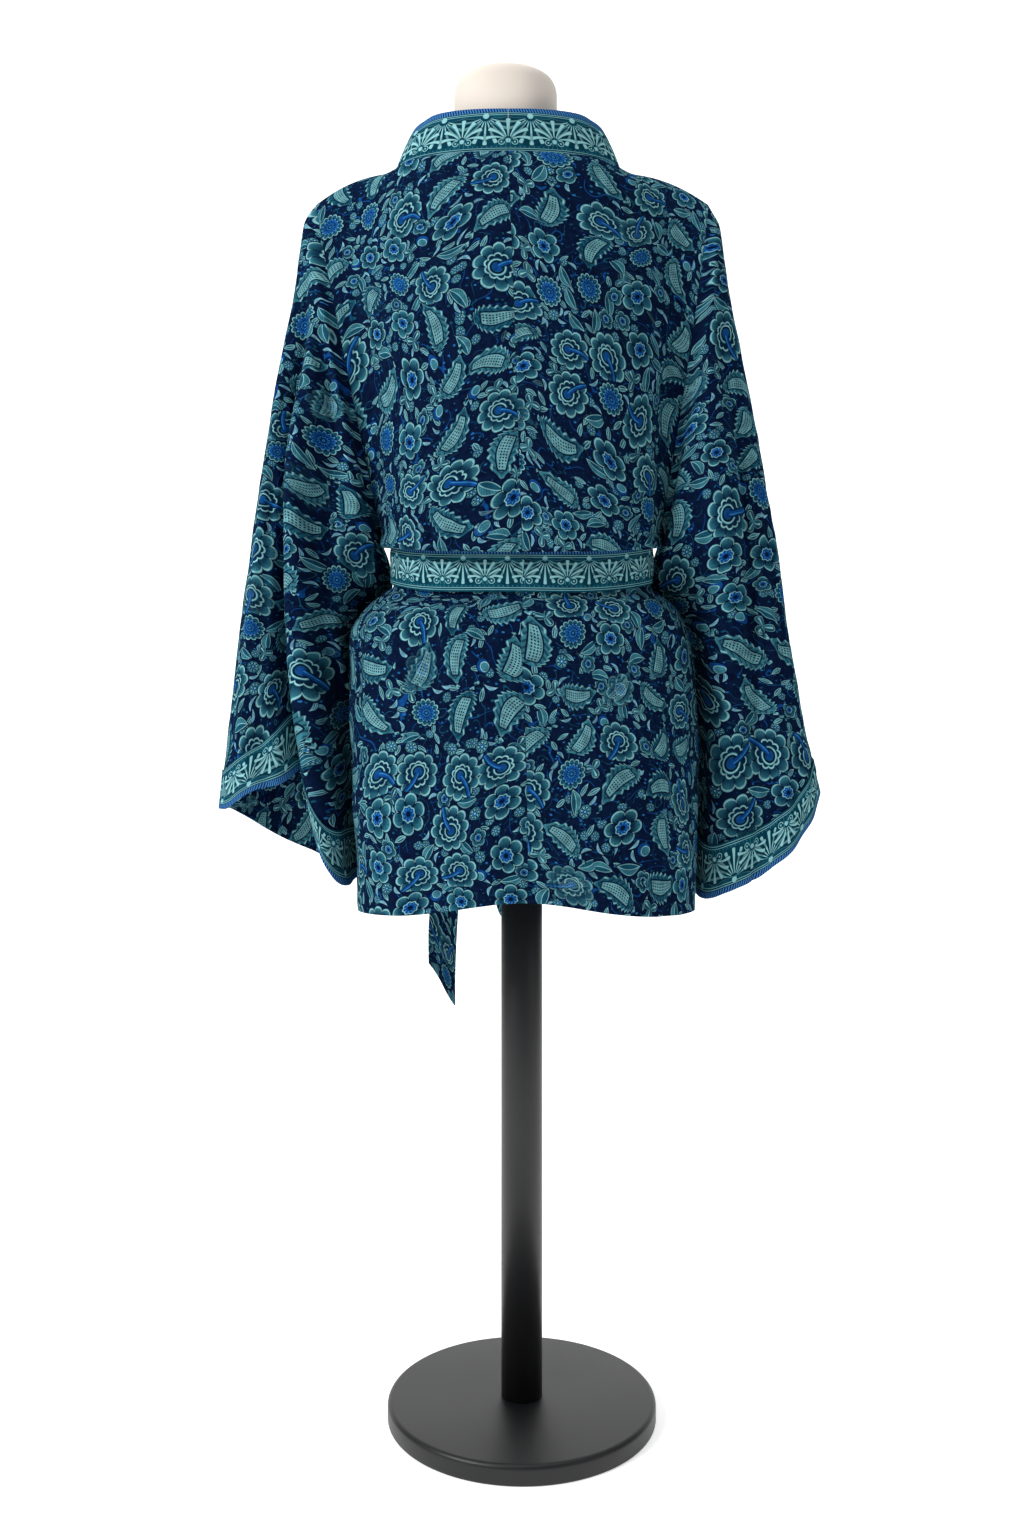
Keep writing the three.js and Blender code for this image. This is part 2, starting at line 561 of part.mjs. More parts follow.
function backPanel(side) {
  const grid = levels.map((level) => backColumns.map((u) => bodyPoint(1, side * u, level)));
  const normals = gridNormals(grid, false);
  backColumns.forEach((u, c) => c >= NECK_COLUMNS && normals[0][c].copy(shoulderNormal(side * u)));
  return { grid, normals, thickness: CLOTH, edges: ["top", "first", "last"] };
}

// How far the right front lies under the left one.
function underlap(side, u, level) {
  return side > 0 ? UNDERLAP_DEPTH * (1 - smooth(0.62, 0.9, u)) * smooth(0.25, 0.6, level) : 0;
}

function frontPanel(side) {
  const columns = Array.from({ length: FRONT_COLUMNS + 1 }, (_, c) => c / FRONT_COLUMNS);
  const grid = levels.map((level) => {
    const edge = -side * along(FRONT_EDGE, "u", level, "level");
    return columns.map((share) => {
      const u = mix(side, edge, share);
      return underBody(-1, u, level, underlap(side, u, level));
    });
  });
  const normals = gridNormals(grid, false);
  columns.forEach((share, c) => normals[0][c].copy(shoulderNormal(side * mix(1, NECK.share, share))));
  return { grid, normals, thickness: CLOTH, edges: ["top", "first", "last"] };
}

// One half of the neckband: its rows run from the centre back round the neck and down the front's edge.
function neckband(side, front) {
  const grid = [];
  for (let i = 0; i < NECK_COLUMNS; i += 1) {
    const share = i / NECK_COLUMNS;
    grid.push(standingRow(topPoint(1, side * share * NECK.share), share, side));
  }
  levels.forEach((level, r) => {
    const seam = front.grid[r][FRONT_COLUMNS];
    const at = 1 + r / FLAT_FROM_ROW;
    const standing = standingRow(seam, Math.min(2, at), side);
    const edge = -side * along(FRONT_EDGE, "u", level, "level");
    const flat = [0, 0.5, 1].map((share) => {
      const u = edge - side * share * bandShare(level);
      return underBody(-1, u, level, underlap(side, u, level));
    });
    const lies = smooth(1.1, 2, at);
    grid.push(standing.map((p, c) => p.lerp(flat[c], lies)));
  });
  const normals = gridNormals(grid, false);
  return { grid, normals, thickness: BAND, edges: ["top", "first"], inset: SEAM * 1.3 };
}

// The band's width along u. It crosses the chest on a slant, so it is wider there along the row.
function bandShare(level) {
  return (COLLAR_WIDTH / 240) * mix(1.18, 0.96, smooth(0.9, 1.3, level));
}

function standingRow(seam, at, side) {
  const [inward, forward, up] = ["inward", "forward", "up"].map((column) => along(COLLAR_STAND, column, at));
  const away = vector(-side * inward, forward, up);
  return [0, 0.5, 1].map((share) => seam.clone().addScaledVector(away, share));
}

function sleeve(side) {
  const [rows, folds] = side < 0 ? [LEFT_SLEEVE, LEFT_SLEEVE_FOLDS] : [RIGHT_SLEEVE, RIGHT_SLEEVE_FOLDS];
  const start = cuffStart(rows);
  const cuffSteps = Array.from({ length: CUFF_STEPS + 1 }, (_, i) => mix(start, 1, i / CUFF_STEPS));
  const steps = [...SLEEVE_STEPS, ...cuffSteps];
  const ringPoints = 2 * ARMHOLE_STEPS;
  const grid = steps.map((at) =>
    Array.from({ length: ringPoints }, (_, i) => sleevePoint(rows, folds, (360 * i) / ringPoints, at)),
  );
  return { grid, normals: gridNormals(grid, true), thickness: CLOTH, edges: ["top"], ring: true };
}

// Where the cuff's band begins, as a share of the sleeve, so that the band has its width.
function cuffStart(rows) {
  const near = 0.9;
  const fall = along(rows, "outerZ", near) - along(rows, "outerZ", 1);
  const run = along(rows, "innerZ", near) - along(rows, "innerZ", 1);
  return 1 - ((1 - near) * CUFF_WIDTH) / ((fall + run) / 2);
}

// The band on the end of a sleeve, made from the sleeve's own points moved out.
function cuff(part) {
  const from = part.grid.length - 1 - CUFF_STEPS;
  const normals = part.normals.slice(from);
  const moved = (point, normal) => point.clone().addScaledVector(normal, CUFF_LIFT + CUFF_BAND);
  const grid = part.grid.slice(from).map((row, r) => row.map((point, c) => moved(point, normals[r][c])));
  return { grid, normals, thickness: CUFF_BAND, edges: [], ring: true };
}

// Makes two seams' directions agree, so that the walls' ends face each other.
function shareNormals(pairs) {
  for (const [a, b] of pairs) {
    const mean = a.clone().add(b).normalize();
    a.copy(mean);
    b.copy(mean);
  }
}

function joinSeams({ back, front, sleeves, bands }) {
  shareNormals(levels.map((_, r) => [back.left.normals[r][0], back.right.normals[r][0]]));
  shareNormals(bands.left.normals[0].map((n, c) => [n, bands.right.normals[0][c]]));
  for (const key of ["left", "right"]) {
    const [b, f, s, n] = [back[key].normals, front[key].normals, sleeves[key].normals, bands[key].normals];
    const ringPoints = s[0].length;
    for (let r = ARMHOLE_STEPS; r < levels.length; r += 1) shareNormals([[b[r][BACK_COLUMNS], f[r][0]]]);
    for (let i = 1; i < ARMHOLE_STEPS; i += 1)
      shareNormals([
        [b[i][BACK_COLUMNS], s[0][i]],
        [f[i][0], s[0][ringPoints - i]],
      ]);
    s[0][0].copy(b[0][BACK_COLUMNS]);
    for (let r = 0; r < levels.length; r += 1) shareNormals([[f[r][FRONT_COLUMNS], n[NECK_COLUMNS + r][0]]]);
    for (let c = 0; c < NECK_COLUMNS; c += 1) shareNormals([[b[0][c], n[c][0]]]);
    b[0][NECK_COLUMNS].copy(n[NECK_COLUMNS][0]);
  }
}

function beltRing() {
  const steps = 60;
  const ring = [];
  for (let i = 0; i < steps; i += 1) {
    const angle = (i / steps) * 2 * Math.PI;
    const centre = BELT_HEIGHT - BELT_TILT * Math.cos(angle);
    const section = bodySection(BELT_AT);
    ring.push({ angle, centre, section });
  }
  const grid = [0, 0.5, 1].map((share) =>
    ring.map(({ angle, centre, section }) => {
      const room = BELT_CLEARANCE + BAND;
      const wide = {
        x: section.x,
        halfWidth: section.halfWidth + room,
        back: section.back + room,
        front: section.front + room,
      };
      const place = roundedSection(wide, angle, ROUNDNESS);
      return vector(place.x, place.y, centre + BELT_WIDTH * (0.5 - share));
    }),
  );
  return { grid, normals: gridNormals(grid, true), thickness: BAND, edges: [], ring: true };
}

// The place on the outside of the belt, at an x on its front.
function beltFront(x) {
  const section = bodySection(BELT_AT);
  const room = BELT_CLEARANCE + BAND;
  const share = Math.min(1, Math.abs(x - section.x) / (section.halfWidth + room));
  const depth = (section.front + room) * (1 - share ** ROUNDNESS) ** (1 / ROUNDNESS);
  return vector(x, depth, BELT_HEIGHT + BELT_TILT * Math.cos((share * Math.PI) / 2));
}

// How much of its full size the knot has, from its back at 0 to its front at 1.
function knotSwell(share) {
  return Math.sqrt(1 - (2 * share - 1) ** 2 * 0.84);
}

// The middle of the knot's back, on the belt.
function knotSeat() {
  const seat = beltFront(KNOT.x);
  seat.z -= KNOT.lowered;
  return seat;
}

function knot() {
  const seat = knotSeat();
  const [rings, sides] = [7, 20];
  const outline = Array.from({ length: rings }, (_, r) => {
    const share = r / (rings - 1);
    const swell = knotSwell(share);
    const y = seat.y + SEAM + KNOT.depth * share;
    return Array.from({ length: sides }, (_, i) => {
      const angle = (i / sides) * 2 * Math.PI;
      const squared = (value) => Math.sign(value) * Math.abs(value) ** 0.75;
      const across = KNOT.width * 0.5 * swell * squared(Math.cos(angle));
      const tall = KNOT.height * 0.5 * swell * squared(Math.sin(angle));
      return vector(seat.x + across, y + across * 0.22, seat.z + tall);
    });
  });
  return loft(outline);
}

function tail(spec) {
  const seat = knotSeat();
  const top = seat.z - KNOT.height * 0.5 * knotSwell((spec.topY - seat.y) / KNOT.depth) - SEAM;
  const grid = Array.from({ length: TAIL_STEPS + 1 }, (_, r) => {
    const share = r / TAIL_STEPS;
    const turn = radians(spec.turn * smooth(0, 0.5, share));
    const forward = smooth(-0.1, 0.36, share) - smooth(-0.1, 0.36, 0) * (1 - share);
    const centreX = mix(spec.x, spec.lowX, smooth(0, 1, share));
    const centreY = mix(spec.topY, spec.lowY, forward);
    return [-0.5, 0, 0.5].map((across) => {
      const z = mix(top, spec.bottom, share) + spec.slant * (0.5 - across) * smooth(0.7, 1, share);
      const reach = BELT_WIDTH * across * mix(0.5, 1, smooth(0, 0.4, share));
      return vector(centreX + reach * Math.cos(turn), centreY + reach * Math.sin(turn), z);
    });
  });
  return { grid, normals: gridNormals(grid, false), thickness: BAND, edges: [] };
}

function formBody() {
  const rings = FORM.map((section) =>
    Array.from({ length: FORM_SIDES }, (_, i) => {
      const place = roundedSection(section, (i / FORM_SIDES) * 2 * Math.PI, FORM_ROUNDNESS);
      return vector(place.x, place.y + section.y, section.z);
    }),
  );
  return loft(rings);
}

function base() {
  const edge = 4;
  const profile = [
    new THREE.Vector2(0, 0),
    new THREE.Vector2(BASE_RADIUS - 2, 0),
    new THREE.Vector2(BASE_RADIUS, 2),
    new THREE.Vector2(BASE_RADIUS, BASE_HEIGHT - edge),
    new THREE.Vector2(BASE_RADIUS - edge * 0.3, BASE_HEIGHT - edge * 0.3),
    new THREE.Vector2(BASE_RADIUS - edge, BASE_HEIGHT),
    new THREE.Vector2(0, BASE_HEIGHT),
  ];
  return new THREE.LatheGeometry(profile, 56).rotateX(Math.PI / 2);
}

function pole() {
  const foot = BASE_HEIGHT + SEAM;
  const length = FORM_BOTTOM - SEAM - foot;
  const tube = new THREE.CylinderGeometry(POLE_RADIUS, POLE_RADIUS, length, 32);
  return tube.rotateX(Math.PI / 2).translate(0, 0, foot + length / 2);
}

// The scene graph.

const group = new THREE.Group();

function add(name, geometry, colour, roughness, metalness = 0) {
  const material = new THREE.MeshStandardMaterial({ color: colour, roughness, metalness });
  const mesh = new THREE.Mesh(geometry, material);
  mesh.name = name;
  group.add(mesh);
}

function addCloth(name, part, colour) {
  insetEdges(part);
  add(name, wall(part.grid, part.normals, part.thickness, part.ring), colour, 0.6);
}

const parts = {
  back: { left: backPanel(-1), right: backPanel(1) },
  front: { left: frontPanel(-1), right: frontPanel(1) },
  sleeves: { left: sleeve(-1), right: sleeve(1) },
};
parts.bands = { left: neckband(-1, parts.front.left), right: neckband(1, parts.front.right) };
joinSeams(parts);
const cuffs = { left: cuff(parts.sleeves.left), right: cuff(parts.sleeves.right) };

for (const key of ["left", "right"]) {
  addCloth(`back_${key}`, parts.back[key], COLOURS.print);
  addCloth(`front_${key}`, parts.front[key], COLOURS.print);
  addCloth(`sleeve_${key}`, parts.sleeves[key], COLOURS.print);
  addCloth(`cuff_${key}`, cuffs[key], COLOURS.border);
  addCloth(`neckband_${key}`, parts.bands[key], COLOURS.border);
}
addCloth("belt", beltRing(), COLOURS.border);
add("belt_knot", knot(), COLOURS.border, 0.6);
for (const spec of TAILS) addCloth(spec.name, tail(spec), COLOURS.print);
add("form", formBody(), COLOURS.jersey, 0.9);
add("pole", pole(), COLOURS.steel, 0.5, 0.4);
add("base", base(), COLOURS.steel, 0.5, 0.4);

export default group;
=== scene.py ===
"""A kimono jacket on a limbless dress form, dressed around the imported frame.

Shapes are worked out in millimetres and turned into metres when a mesh is made. The cloth is drawn from
the same tables as the solids, on finer grids and with finer folds.
"""

import math

import bpy
import numpy as np
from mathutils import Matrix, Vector


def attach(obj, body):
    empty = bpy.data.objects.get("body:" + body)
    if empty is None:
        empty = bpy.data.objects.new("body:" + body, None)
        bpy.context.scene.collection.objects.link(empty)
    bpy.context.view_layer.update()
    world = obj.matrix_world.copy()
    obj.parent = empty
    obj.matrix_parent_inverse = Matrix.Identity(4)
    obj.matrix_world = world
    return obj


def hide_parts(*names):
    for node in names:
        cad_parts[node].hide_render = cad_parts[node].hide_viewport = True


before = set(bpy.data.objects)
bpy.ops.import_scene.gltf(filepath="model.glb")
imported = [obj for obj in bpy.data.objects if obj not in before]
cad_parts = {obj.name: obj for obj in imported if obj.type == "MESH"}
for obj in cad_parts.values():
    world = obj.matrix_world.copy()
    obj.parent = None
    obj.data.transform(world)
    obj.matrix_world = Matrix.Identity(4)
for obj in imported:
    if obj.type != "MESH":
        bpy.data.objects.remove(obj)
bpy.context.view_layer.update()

TAU = 2 * math.pi

# Driving dimensions, as in the solids.
BASE_RADIUS = 140
BASE_HEIGHT = 20
POLE_RADIUS = 21.5
FORM_BOTTOM = 715
SEAM = 0.34
CLOTH = 1.4
BAND = 2.0
COLLAR_WIDTH = 50
CUFF_WIDTH = 45
CUFF_BAND = 1.1
CUFF_LIFT = 0.5
BELT_WIDTH = 43
BELT_HEIGHT = 892
BELT_TILT = 24
BELT_AT = 0.235
BELT_CLEARANCE = 0.7
UNDERLAP_DEPTH = 5.6
ARMHOLE_DEPTH = 44
ROUNDNESS = 2.3
FORM_ROUNDNESS = 2.1
RISE_FULL = 0.86
NECK = {"x": -14, "halfWidth": 119, "depth": 70, "backZ": 1290, "sideZ": 1297, "share": 0.5}
SHOULDER = {"x": -10, "halfWidth": 205, "drop": 30, "curve": 2.2}
FRONT_NECK = {"y": 62, "z": 1252}
HEM_RISE = {"height": 17, "halfWidth": 62, "from": 0.6}
SLEEVE_COLUMNS = 220
CUFF_ROWS = 18
BELT_COLUMNS = 260
# How far the print ignores the folds, so that it isn't sheared where they start.
UNFOLDED = 0.7
WORLD_LIGHT = 0.2
WORLD_SEEN = 0.95


def table(names, *rows):
    """A table with named columns: one dictionary for each row."""
    keys = names.split()
    return [dict(zip(keys, row)) for row in rows]


BODY = table(
    "at z frontZ tilt halfWidth back front x",
    (0.0, 922, 932, 0.95, 145, 119, 118, -1),
    (0.04, 912, 926, 1.0, 146.5, 120.5, 117, -1),
    (0.07, 908, 922, 1.0, 144.5, 117, 113.5, 0),
    (0.1, 911, 918.5, 1.0, 141.5, 110, 109, 0),
    (0.13, 916.2, 917.4, 1.0, 138.6, 104, 103.5, 0),
    (0.16, 915.6, 915.4, 1.0, 134.6, 99.6, 98.3, 0),
    (0.19, 908, 908, 1.0, 134, 99, 98, 0),
    (0.28, 868.5, 868.5, 1.0, 134, 99, 98, 0),
    (0.32, 861, 861, 0.97, 143, 107, 106, 0),
    (0.37, 846, 846, 0.85, 161, 116, 114, -1),
    (0.43, 821, 821, 0.65, 175, 123, 120, -2),
    (0.55, 762, 762, 0.35, 181, 128, 125, 1),
    (0.78, 650, 650, 0.0, 180, 131, 128, 4),
    (1.0, 531, 531, 0.0, 175, 132, 130, 5),
)
FOLD = "u lowerU width out from full fades to"
BACK_FOLDS = table(
    FOLD,
    (-0.8, -0.7, 0.11, -7, 0.2, 0.6, 0.95, 1.1),
    (-0.5, -0.5, 0.16, 5, 0.55, 0.9, 1.0, 1.12),
    (0.82, 0.74, 0.11, -6, 0.25, 0.7, 0.95, 1.1),
    (-0.34, -0.38, 0.1, -5, 1.34, 1.5, 1.85, 2.1),
    (0.0, 0.02, 0.12, -7, 1.6, 2.0, 2.1, 2.2),
    (0.36, 0.42, 0.11, 5, 1.34, 1.6, 2.1, 2.2),
    (0.78, 0.74, 0.1, -4, 1.34, 1.45, 1.8, 2.1),
)
FRONT_FOLDS = table(
    FOLD,
    (-0.55, -0.6, 0.16, 5, 1.34, 1.6, 2.1, 2.2),
    (0.6, 0.62, 0.16, 5, 1.34, 1.6, 2.1, 2.2),
)
# Finer folds, only in the cloth that is seen: gathers above and below the belt and soft creases on the back.
BACK_CREASES = table(
    FOLD,
    (0.0, 0.0, 0.011, -1.1, 0.02, 0.1, 2.06, 2.2),
    (-0.46, -0.44, 0.028, 3.2, 0.78, 0.95, 1.05, 1.12),
    (-0.38, -0.37, 0.022, -2.6, 0.8, 0.95, 1.05, 1.12),
    (-0.3, -0.31, 0.026, 2.4, 0.82, 0.96, 1.05, 1.12),
    (-0.16, -0.15, 0.03, 1.6, 0.86, 0.98, 1.05, 1.12),
    (0.12, 0.13, 0.03, 1.8, 0.86, 0.98, 1.05, 1.12),
    (0.5, 0.52, 0.026, 2.6, 0.82, 0.96, 1.05, 1.12),
    (0.6, 0.6, 0.024, -2.4, 0.8, 0.95, 1.05, 1.12),
    (0.68, 0.67, 0.026, 2.8, 0.78, 0.95, 1.05, 1.12),
    (-0.7, -0.72, 0.05, 3.0, 0.3, 0.7, 0.95, 1.1),
    (0.66, 0.72, 0.06, 2.4, 0.25, 0.6, 0.9, 1.1),
    (-0.62, -0.66, 0.03, 3.4, 1.3, 1.38, 1.46, 1.8),
    (-0.5, -0.54, 0.026, -2.8, 1.3, 1.37, 1.42, 1.7),
    (-0.22, -0.24, 0.03, 2.2, 1.3, 1.37, 1.4, 1.65),
    (-0.1, -0.1, 0.026, -1.8, 1.3, 1.36, 1.4, 1.6),
    (0.1, 0.12, 0.03, 2.0, 1.3, 1.37, 1.42, 1.75),
    (0.24, 0.25, 0.026, -2.2, 1.3, 1.37, 1.42, 1.7),
    (0.48, 0.5, 0.03, 2.8, 1.3, 1.38, 1.46, 1.9),
    (0.6, 0.64, 0.028, -3.0, 1.3, 1.38, 1.44, 1.8),
    (-0.42, -0.46, 0.045, 3.0, 1.5, 1.8, 2.1, 2.2),
    (0.56, 0.54, 0.05, -2.6, 1.5, 1.85, 2.1, 2.2),
    (0.22, 0.2, 0.06, 2.2, 1.5, 1.9, 2.1, 2.2),
)
FRONT_CREASES = table(
    FOLD,
    (-0.7, -0.68, 0.03, 2.6, 0.8, 0.95, 1.05, 1.12),
    (-0.5, -0.5, 0.03, -2.2, 0.82, 0.95, 1.05, 1.12),
    (0.55, 0.54, 0.03, 2.6, 0.82, 0.95, 1.05, 1.12),
    (0.74, 0.72, 0.03, -2.4, 0.8, 0.95, 1.05, 1.12),
    (-0.72, -0.74, 0.035, -3.0, 1.3, 1.38, 1.6, 2.1),
    (-0.4, -0.42, 0.04, 2.6, 1.3, 1.38, 1.5, 2.0),
    (0.7, 0.74, 0.04, -3.0, 1.3, 1.38, 1.6, 2.1),
    (0.44, 0.46, 0.04, 2.6, 1.3, 1.38, 1.5, 2.0),
)
FRONT_EDGE = table(
    "level u",
    (0.0, -0.5),
    (0.2, -0.45),
    (0.4, -0.34),
    (0.6, -0.18),
    (0.8, 0.02),
    (1.0, 0.2),
    (1.2, 0.32),
    (1.4, 0.36),
    (2.0, 0.38),
)
COLLAR_STAND = table(
    "at inward forward up",
    (0.0, 0, 9, 48),
    (0.45, 9, 11, 50),
    (0.75, 21, 9, 50),
    (1.0, 17, 5, 44),
    (1.3, 24, 10, 38),
    (2.0, 40, 10, 26),
)
FLAT_FROM_LEVEL = 9 / 20

SLEEVE = "at outerX outerZ innerX innerZ depth y"
LEFT_SLEEVE = table(
    SLEEVE,
    (0.0, -215, 1267, -146, 922, 44, 0),
    (0.02, -220, 1260, -150, 911, 47, -1),
    (0.05, -227, 1246, -145, 898, 52, -3),
    (0.1, -232, 1211, -141, 884, 56, -4),
    (0.16, -238, 1168, -143, 870, 59, -5),
    (0.24, -249, 1112, -167, 845, 59, -4),
    (0.34, -262, 1042, -181, 810, 58, -3),
    (0.52, -282, 916, -179, 752, 54, 0),
    (0.7, -299, 790, -178, 690, 51, 2),
    (0.88, -312, 675, -176, 616, 47, 4),
    (1.0, -316, 638, -174, 564, 44, 4),
)
RIGHT_SLEEVE = table(
    SLEEVE,
    (0.0, 195, 1267, 144, 922, 44, 0),
    (0.02, 199, 1259, 149, 912, 47, -1),
    (0.05, 206, 1244, 145, 899, 52, -3),
    (0.1, 211, 1210, 140, 884, 56, -4),
    (0.16, 217, 1168, 138, 870, 59, -5),
    (0.24, 228, 1112, 164, 845, 59, -4),
    (0.34, 242, 1042, 181, 811, 58, -3),
    (0.52, 264, 916, 185, 754, 54, 0),
    (0.7, 284, 790, 188, 691, 51, 2),
    (0.88, 305, 684, 189, 620, 47, 4),
    (1.0, 312, 654, 188, 568, 44, 4),
)
SLEEVE_FOLD = "angle lowerAngle power width out lean rise forward from full fades"
LEFT_SLEEVE_FOLDS = table(
    SLEEVE_FOLD,
    (34, 112, 1, 13, -31, 0, 54, 0, 0.02, 0.26, 2),
    (40, 144, 0.8, 16, 20, 17, -18, 0, 0.04, 0.35, 2),
    (34, 190, 0.6, 13, -16, 0, 0, 0, 0.02, 0.16, 0.55),
    (20, 36, 1, 24, 2, 0, -6, 0, 0.4, 0.9, 2),
    (235, 235, 1, 17, -13, 0, 0, 0, 0.05, 0.5, 2),
    (285, 285, 1, 20, 9, 0, -8, 0, 0.1, 0.6, 2),
    (62, 84, 1, 27, 0, 0, 50, 0, 0.3, 0.9, 2),
    (183, 183, 1, 21, 0, 0, 0, 44, 0, 0.08, 2),
    (196, 196, 1, 11, 0, -9, 0, 0, 0, 0.04, 0.1),
)
RIGHT_SLEEVE_FOLDS = table(
    SLEEVE_FOLD,
    (70, 150, 0.7, 19, 12, 3, -18, 0, 0.02, 0.3, 2),
    (40, 108, 0.8, 15, -11, 0, -10, 0, 0.05, 0.4, 2),
    (30, 66, 1, 24, 4, 0, -22, 0, 0.2, 0.8, 2),
    (105, 105, 1, 36, 0, 0, -24, 0, 0, 1, 2),
    (240, 240, 1, 17, -13, 0, 0, 0, 0.05, 0.5, 2),
    (290, 290, 1, 20, 8, 0, -8, 0, 0.1, 0.6, 2),
    (183, 183, 1, 21, 0, 0, 0, 44, 0, 0.08, 2),
    (196, 196, 1, 11, 0, -9, 0, 0, 0, 0.04, 0.1),
)
LEFT_SLEEVE_CREASES = table(
    SLEEVE_FOLD,
    (34, 112, 1, 5, -7, 0, 0, 0, 0.0, 0.2, 2),
    (44, 128, 0.9, 6, 4, 3, 0, 0, 0.0, 0.25, 2),
    (20, 78, 1, 5, -4, 0, 0, 0, 0.1, 0.4, 2),
    (14, 56, 1, 6, 2.6, 0, 0, 0, 0.2, 0.6, 2),
    (60, 164, 0.7, 6, -4, 0, 0, 0, 0.05, 0.3, 2),
    (52, 152, 0.7, 5, 3, 0, 0, 0, 0.05, 0.3, 2),
    (200, 205, 1, 7, 3, 0, 0, 0, 0.1, 0.5, 2),
    (262, 262, 1, 7, -3.5, 0, 0, 0, 0.1, 0.6, 2),
    (320, 325, 1, 8, -3, 0, 0, 0, 0.2, 0.7, 2),
)
RIGHT_SLEEVE_CREASES = table(
    SLEEVE_FOLD,
    (52, 128, 0.8, 6, 3.4, 0, 0, 0, 0.05, 0.3, 2),
    (40, 104, 0.8, 5, -4.6, 0, 0, 0, 0.02, 0.3, 2),
    (30, 84, 0.9, 5, -3.6, 0, 0, 0, 0.05, 0.4, 2),
    (22, 58, 0.9, 5, -2.8, 0, 0, 0, 0.05, 0.5, 2),
    (16, 44, 1, 6, 2.4, 0, 0, 0, 0.2, 0.6, 2),
    (200, 205, 1, 7, 3, 0, 0, 0, 0.1, 0.5, 2),
    (265, 265, 1, 7, -3.5, 0, 0, 0, 0.1, 0.6, 2),
    (320, 325, 1, 8, -3, 0, 0, 0, 0.2, 0.7, 2),
)

FORM = table(
    "z halfWidth back front x",
    (715, 152, 104, 96, 0),
    (760, 158, 110, 100, 0),
    (800, 154, 106, 98, 0),
    (850, 134, 93, 90, 0),
    (900, 121, 84, 84, -1),
    (945, 121, 84, 88, -2),
    (1000, 131, 90, 98, -4),
    (1060, 143, 97, 104, -6),
    (1120, 153, 102, 97, -8),
    (1175, 163, 92, 80, -9),
    (1215, 171, 74, 62, -10),
    (1245, 178, 63, 53, -10.8),
    (1267.1, 170, 58, 50, -10.8),
    (1280.1, 152, 54, 49, -10.8),
    (1288.1, 125, 52, 49, -11.5),
    (1291, 97, 52, 50, -13),
    (1297, 75, 52, 50, -15),
    (1305, 61, 52.5, 50.5, -16),
    (1318, 56, 53, 51, -17),
    (1345, 54, 52, 51, -17),
    (1381, 54, 52, 51, -17),
    (1388.5, 52, 50, 49, -17),
    (1393.5, 46, 44, 43, -17),
    (1397, 32, 30, 29, -17),
)

KNOT = {"x": -54, "width": 54, "height": 45, "depth": 26, "lowered": 5}
TAILS = table(
    "name x topY lowX lowY bottom turn slant",
    ("belt_tail_left", -67, 112, -92, 150, 397, 46, 55),
    ("belt_tail_right", -41, 112, -30, 152, 502, 69, 44),
)

# Numbers and curves.


def smooth(low, high, value):
    share = np.clip((value - low) / (high - low), 0, 1)
    return share * share * (3 - 2 * share)


def bump(distance, width):
    return np.exp(-0.5 * (distance / width) ** 2)


def mix(a, b, share):
    return a + (b - a) * share


def along(rows, column, value, key="at"):
    """The value of a column between its rows, on a smooth curve that never swings past them."""
    x = np.array([row[key] for row in rows], float)
    y = np.array([row[column] for row in rows], float)
    slope = np.diff(y) / np.diff(x)
    tangent = np.empty_like(y)
    tangent[0], tangent[-1] = slope[0], slope[-1]
    before, after = slope[:-1], slope[1:]
    same = before * after > 0
    tangent[1:-1] = np.where(same, 2 * before * after / np.where(same, before + after, 1), 0)
    value = np.clip(value, x[0], x[-1])
    i = np.clip(np.searchsorted(x, value, side="right") - 1, 0, len(x) - 2)
    span = x[i + 1] - x[i]
    t = (value - x[i]) / span
    start, end = tangent[i] * span, tangent[i + 1] * span
    rise = y[i + 1] - y[i]
    return y[i] + t * (start + t * (3 * rise - 2 * start - end + t * (start + end - 2 * rise)))


def rounded(section, angle, roundness, room=0):
    """A point of a rounded section, let out by some room, at an angle from its back, as x and y."""
    power = 2 / roundness
    s, c = np.sin(angle), np.cos(angle)
    depth = np.where(c > 0, section["back"] + room, section["front"] + room)
    return (
        section["x"] + (section["halfWidth"] + room) * np.sign(s) * np.abs(s) ** power,
        -depth * np.sign(c) * np.abs(c) ** power,
    )


def ripple(a, b, seed, reach, count=9):
    """Soft, uneven waves over two coordinates, about -1 to 1, with wavelengths near reach."""
    random = np.random.default_rng(seed)
    total = 0
    for _ in range(count):
        turn = random.uniform(0, TAU)
        rate = TAU / (reach * random.uniform(0.7, 1.6))
        total = total + np.sin(rate * (a * np.cos(turn) + b * np.sin(turn)) + random.uniform(0, TAU))
    return total / math.sqrt(count)


def points(x, y, z):
    return np.stack(np.broadcast_arrays(x, y, z), axis=-1).astype(float)


def columns(rows, names, value, key="at"):
    """Several columns of a table at one value."""
    return {name: along(rows, name, value, key) for name in names.split()}


def unit(vectors):
    return vectors / np.maximum(np.linalg.norm(vectors, axis=-1, keepdims=True), 1e-9)


def summed(steps, axis=0):
    """Running sums of steps along an axis, from 0."""
    start = np.zeros_like(np.take(steps, [0], axis))
    return np.concatenate([start, np.cumsum(steps, axis=axis)], axis=axis)


# The body of the jacket.


def fold_out(folds, u, level):
    out = 0
    for fold in folds:
        centre = mix(fold["u"], fold["lowerU"], smooth(fold["from"], fold["to"], level))
        rise = smooth(fold["from"], fold["full"], level) * (1 - smooth(fold["fades"], fold["to"], level))
        out = out + fold["out"] * rise * bump(u - centre, fold["width"])
    return out * (1 - np.abs(u) ** 16)


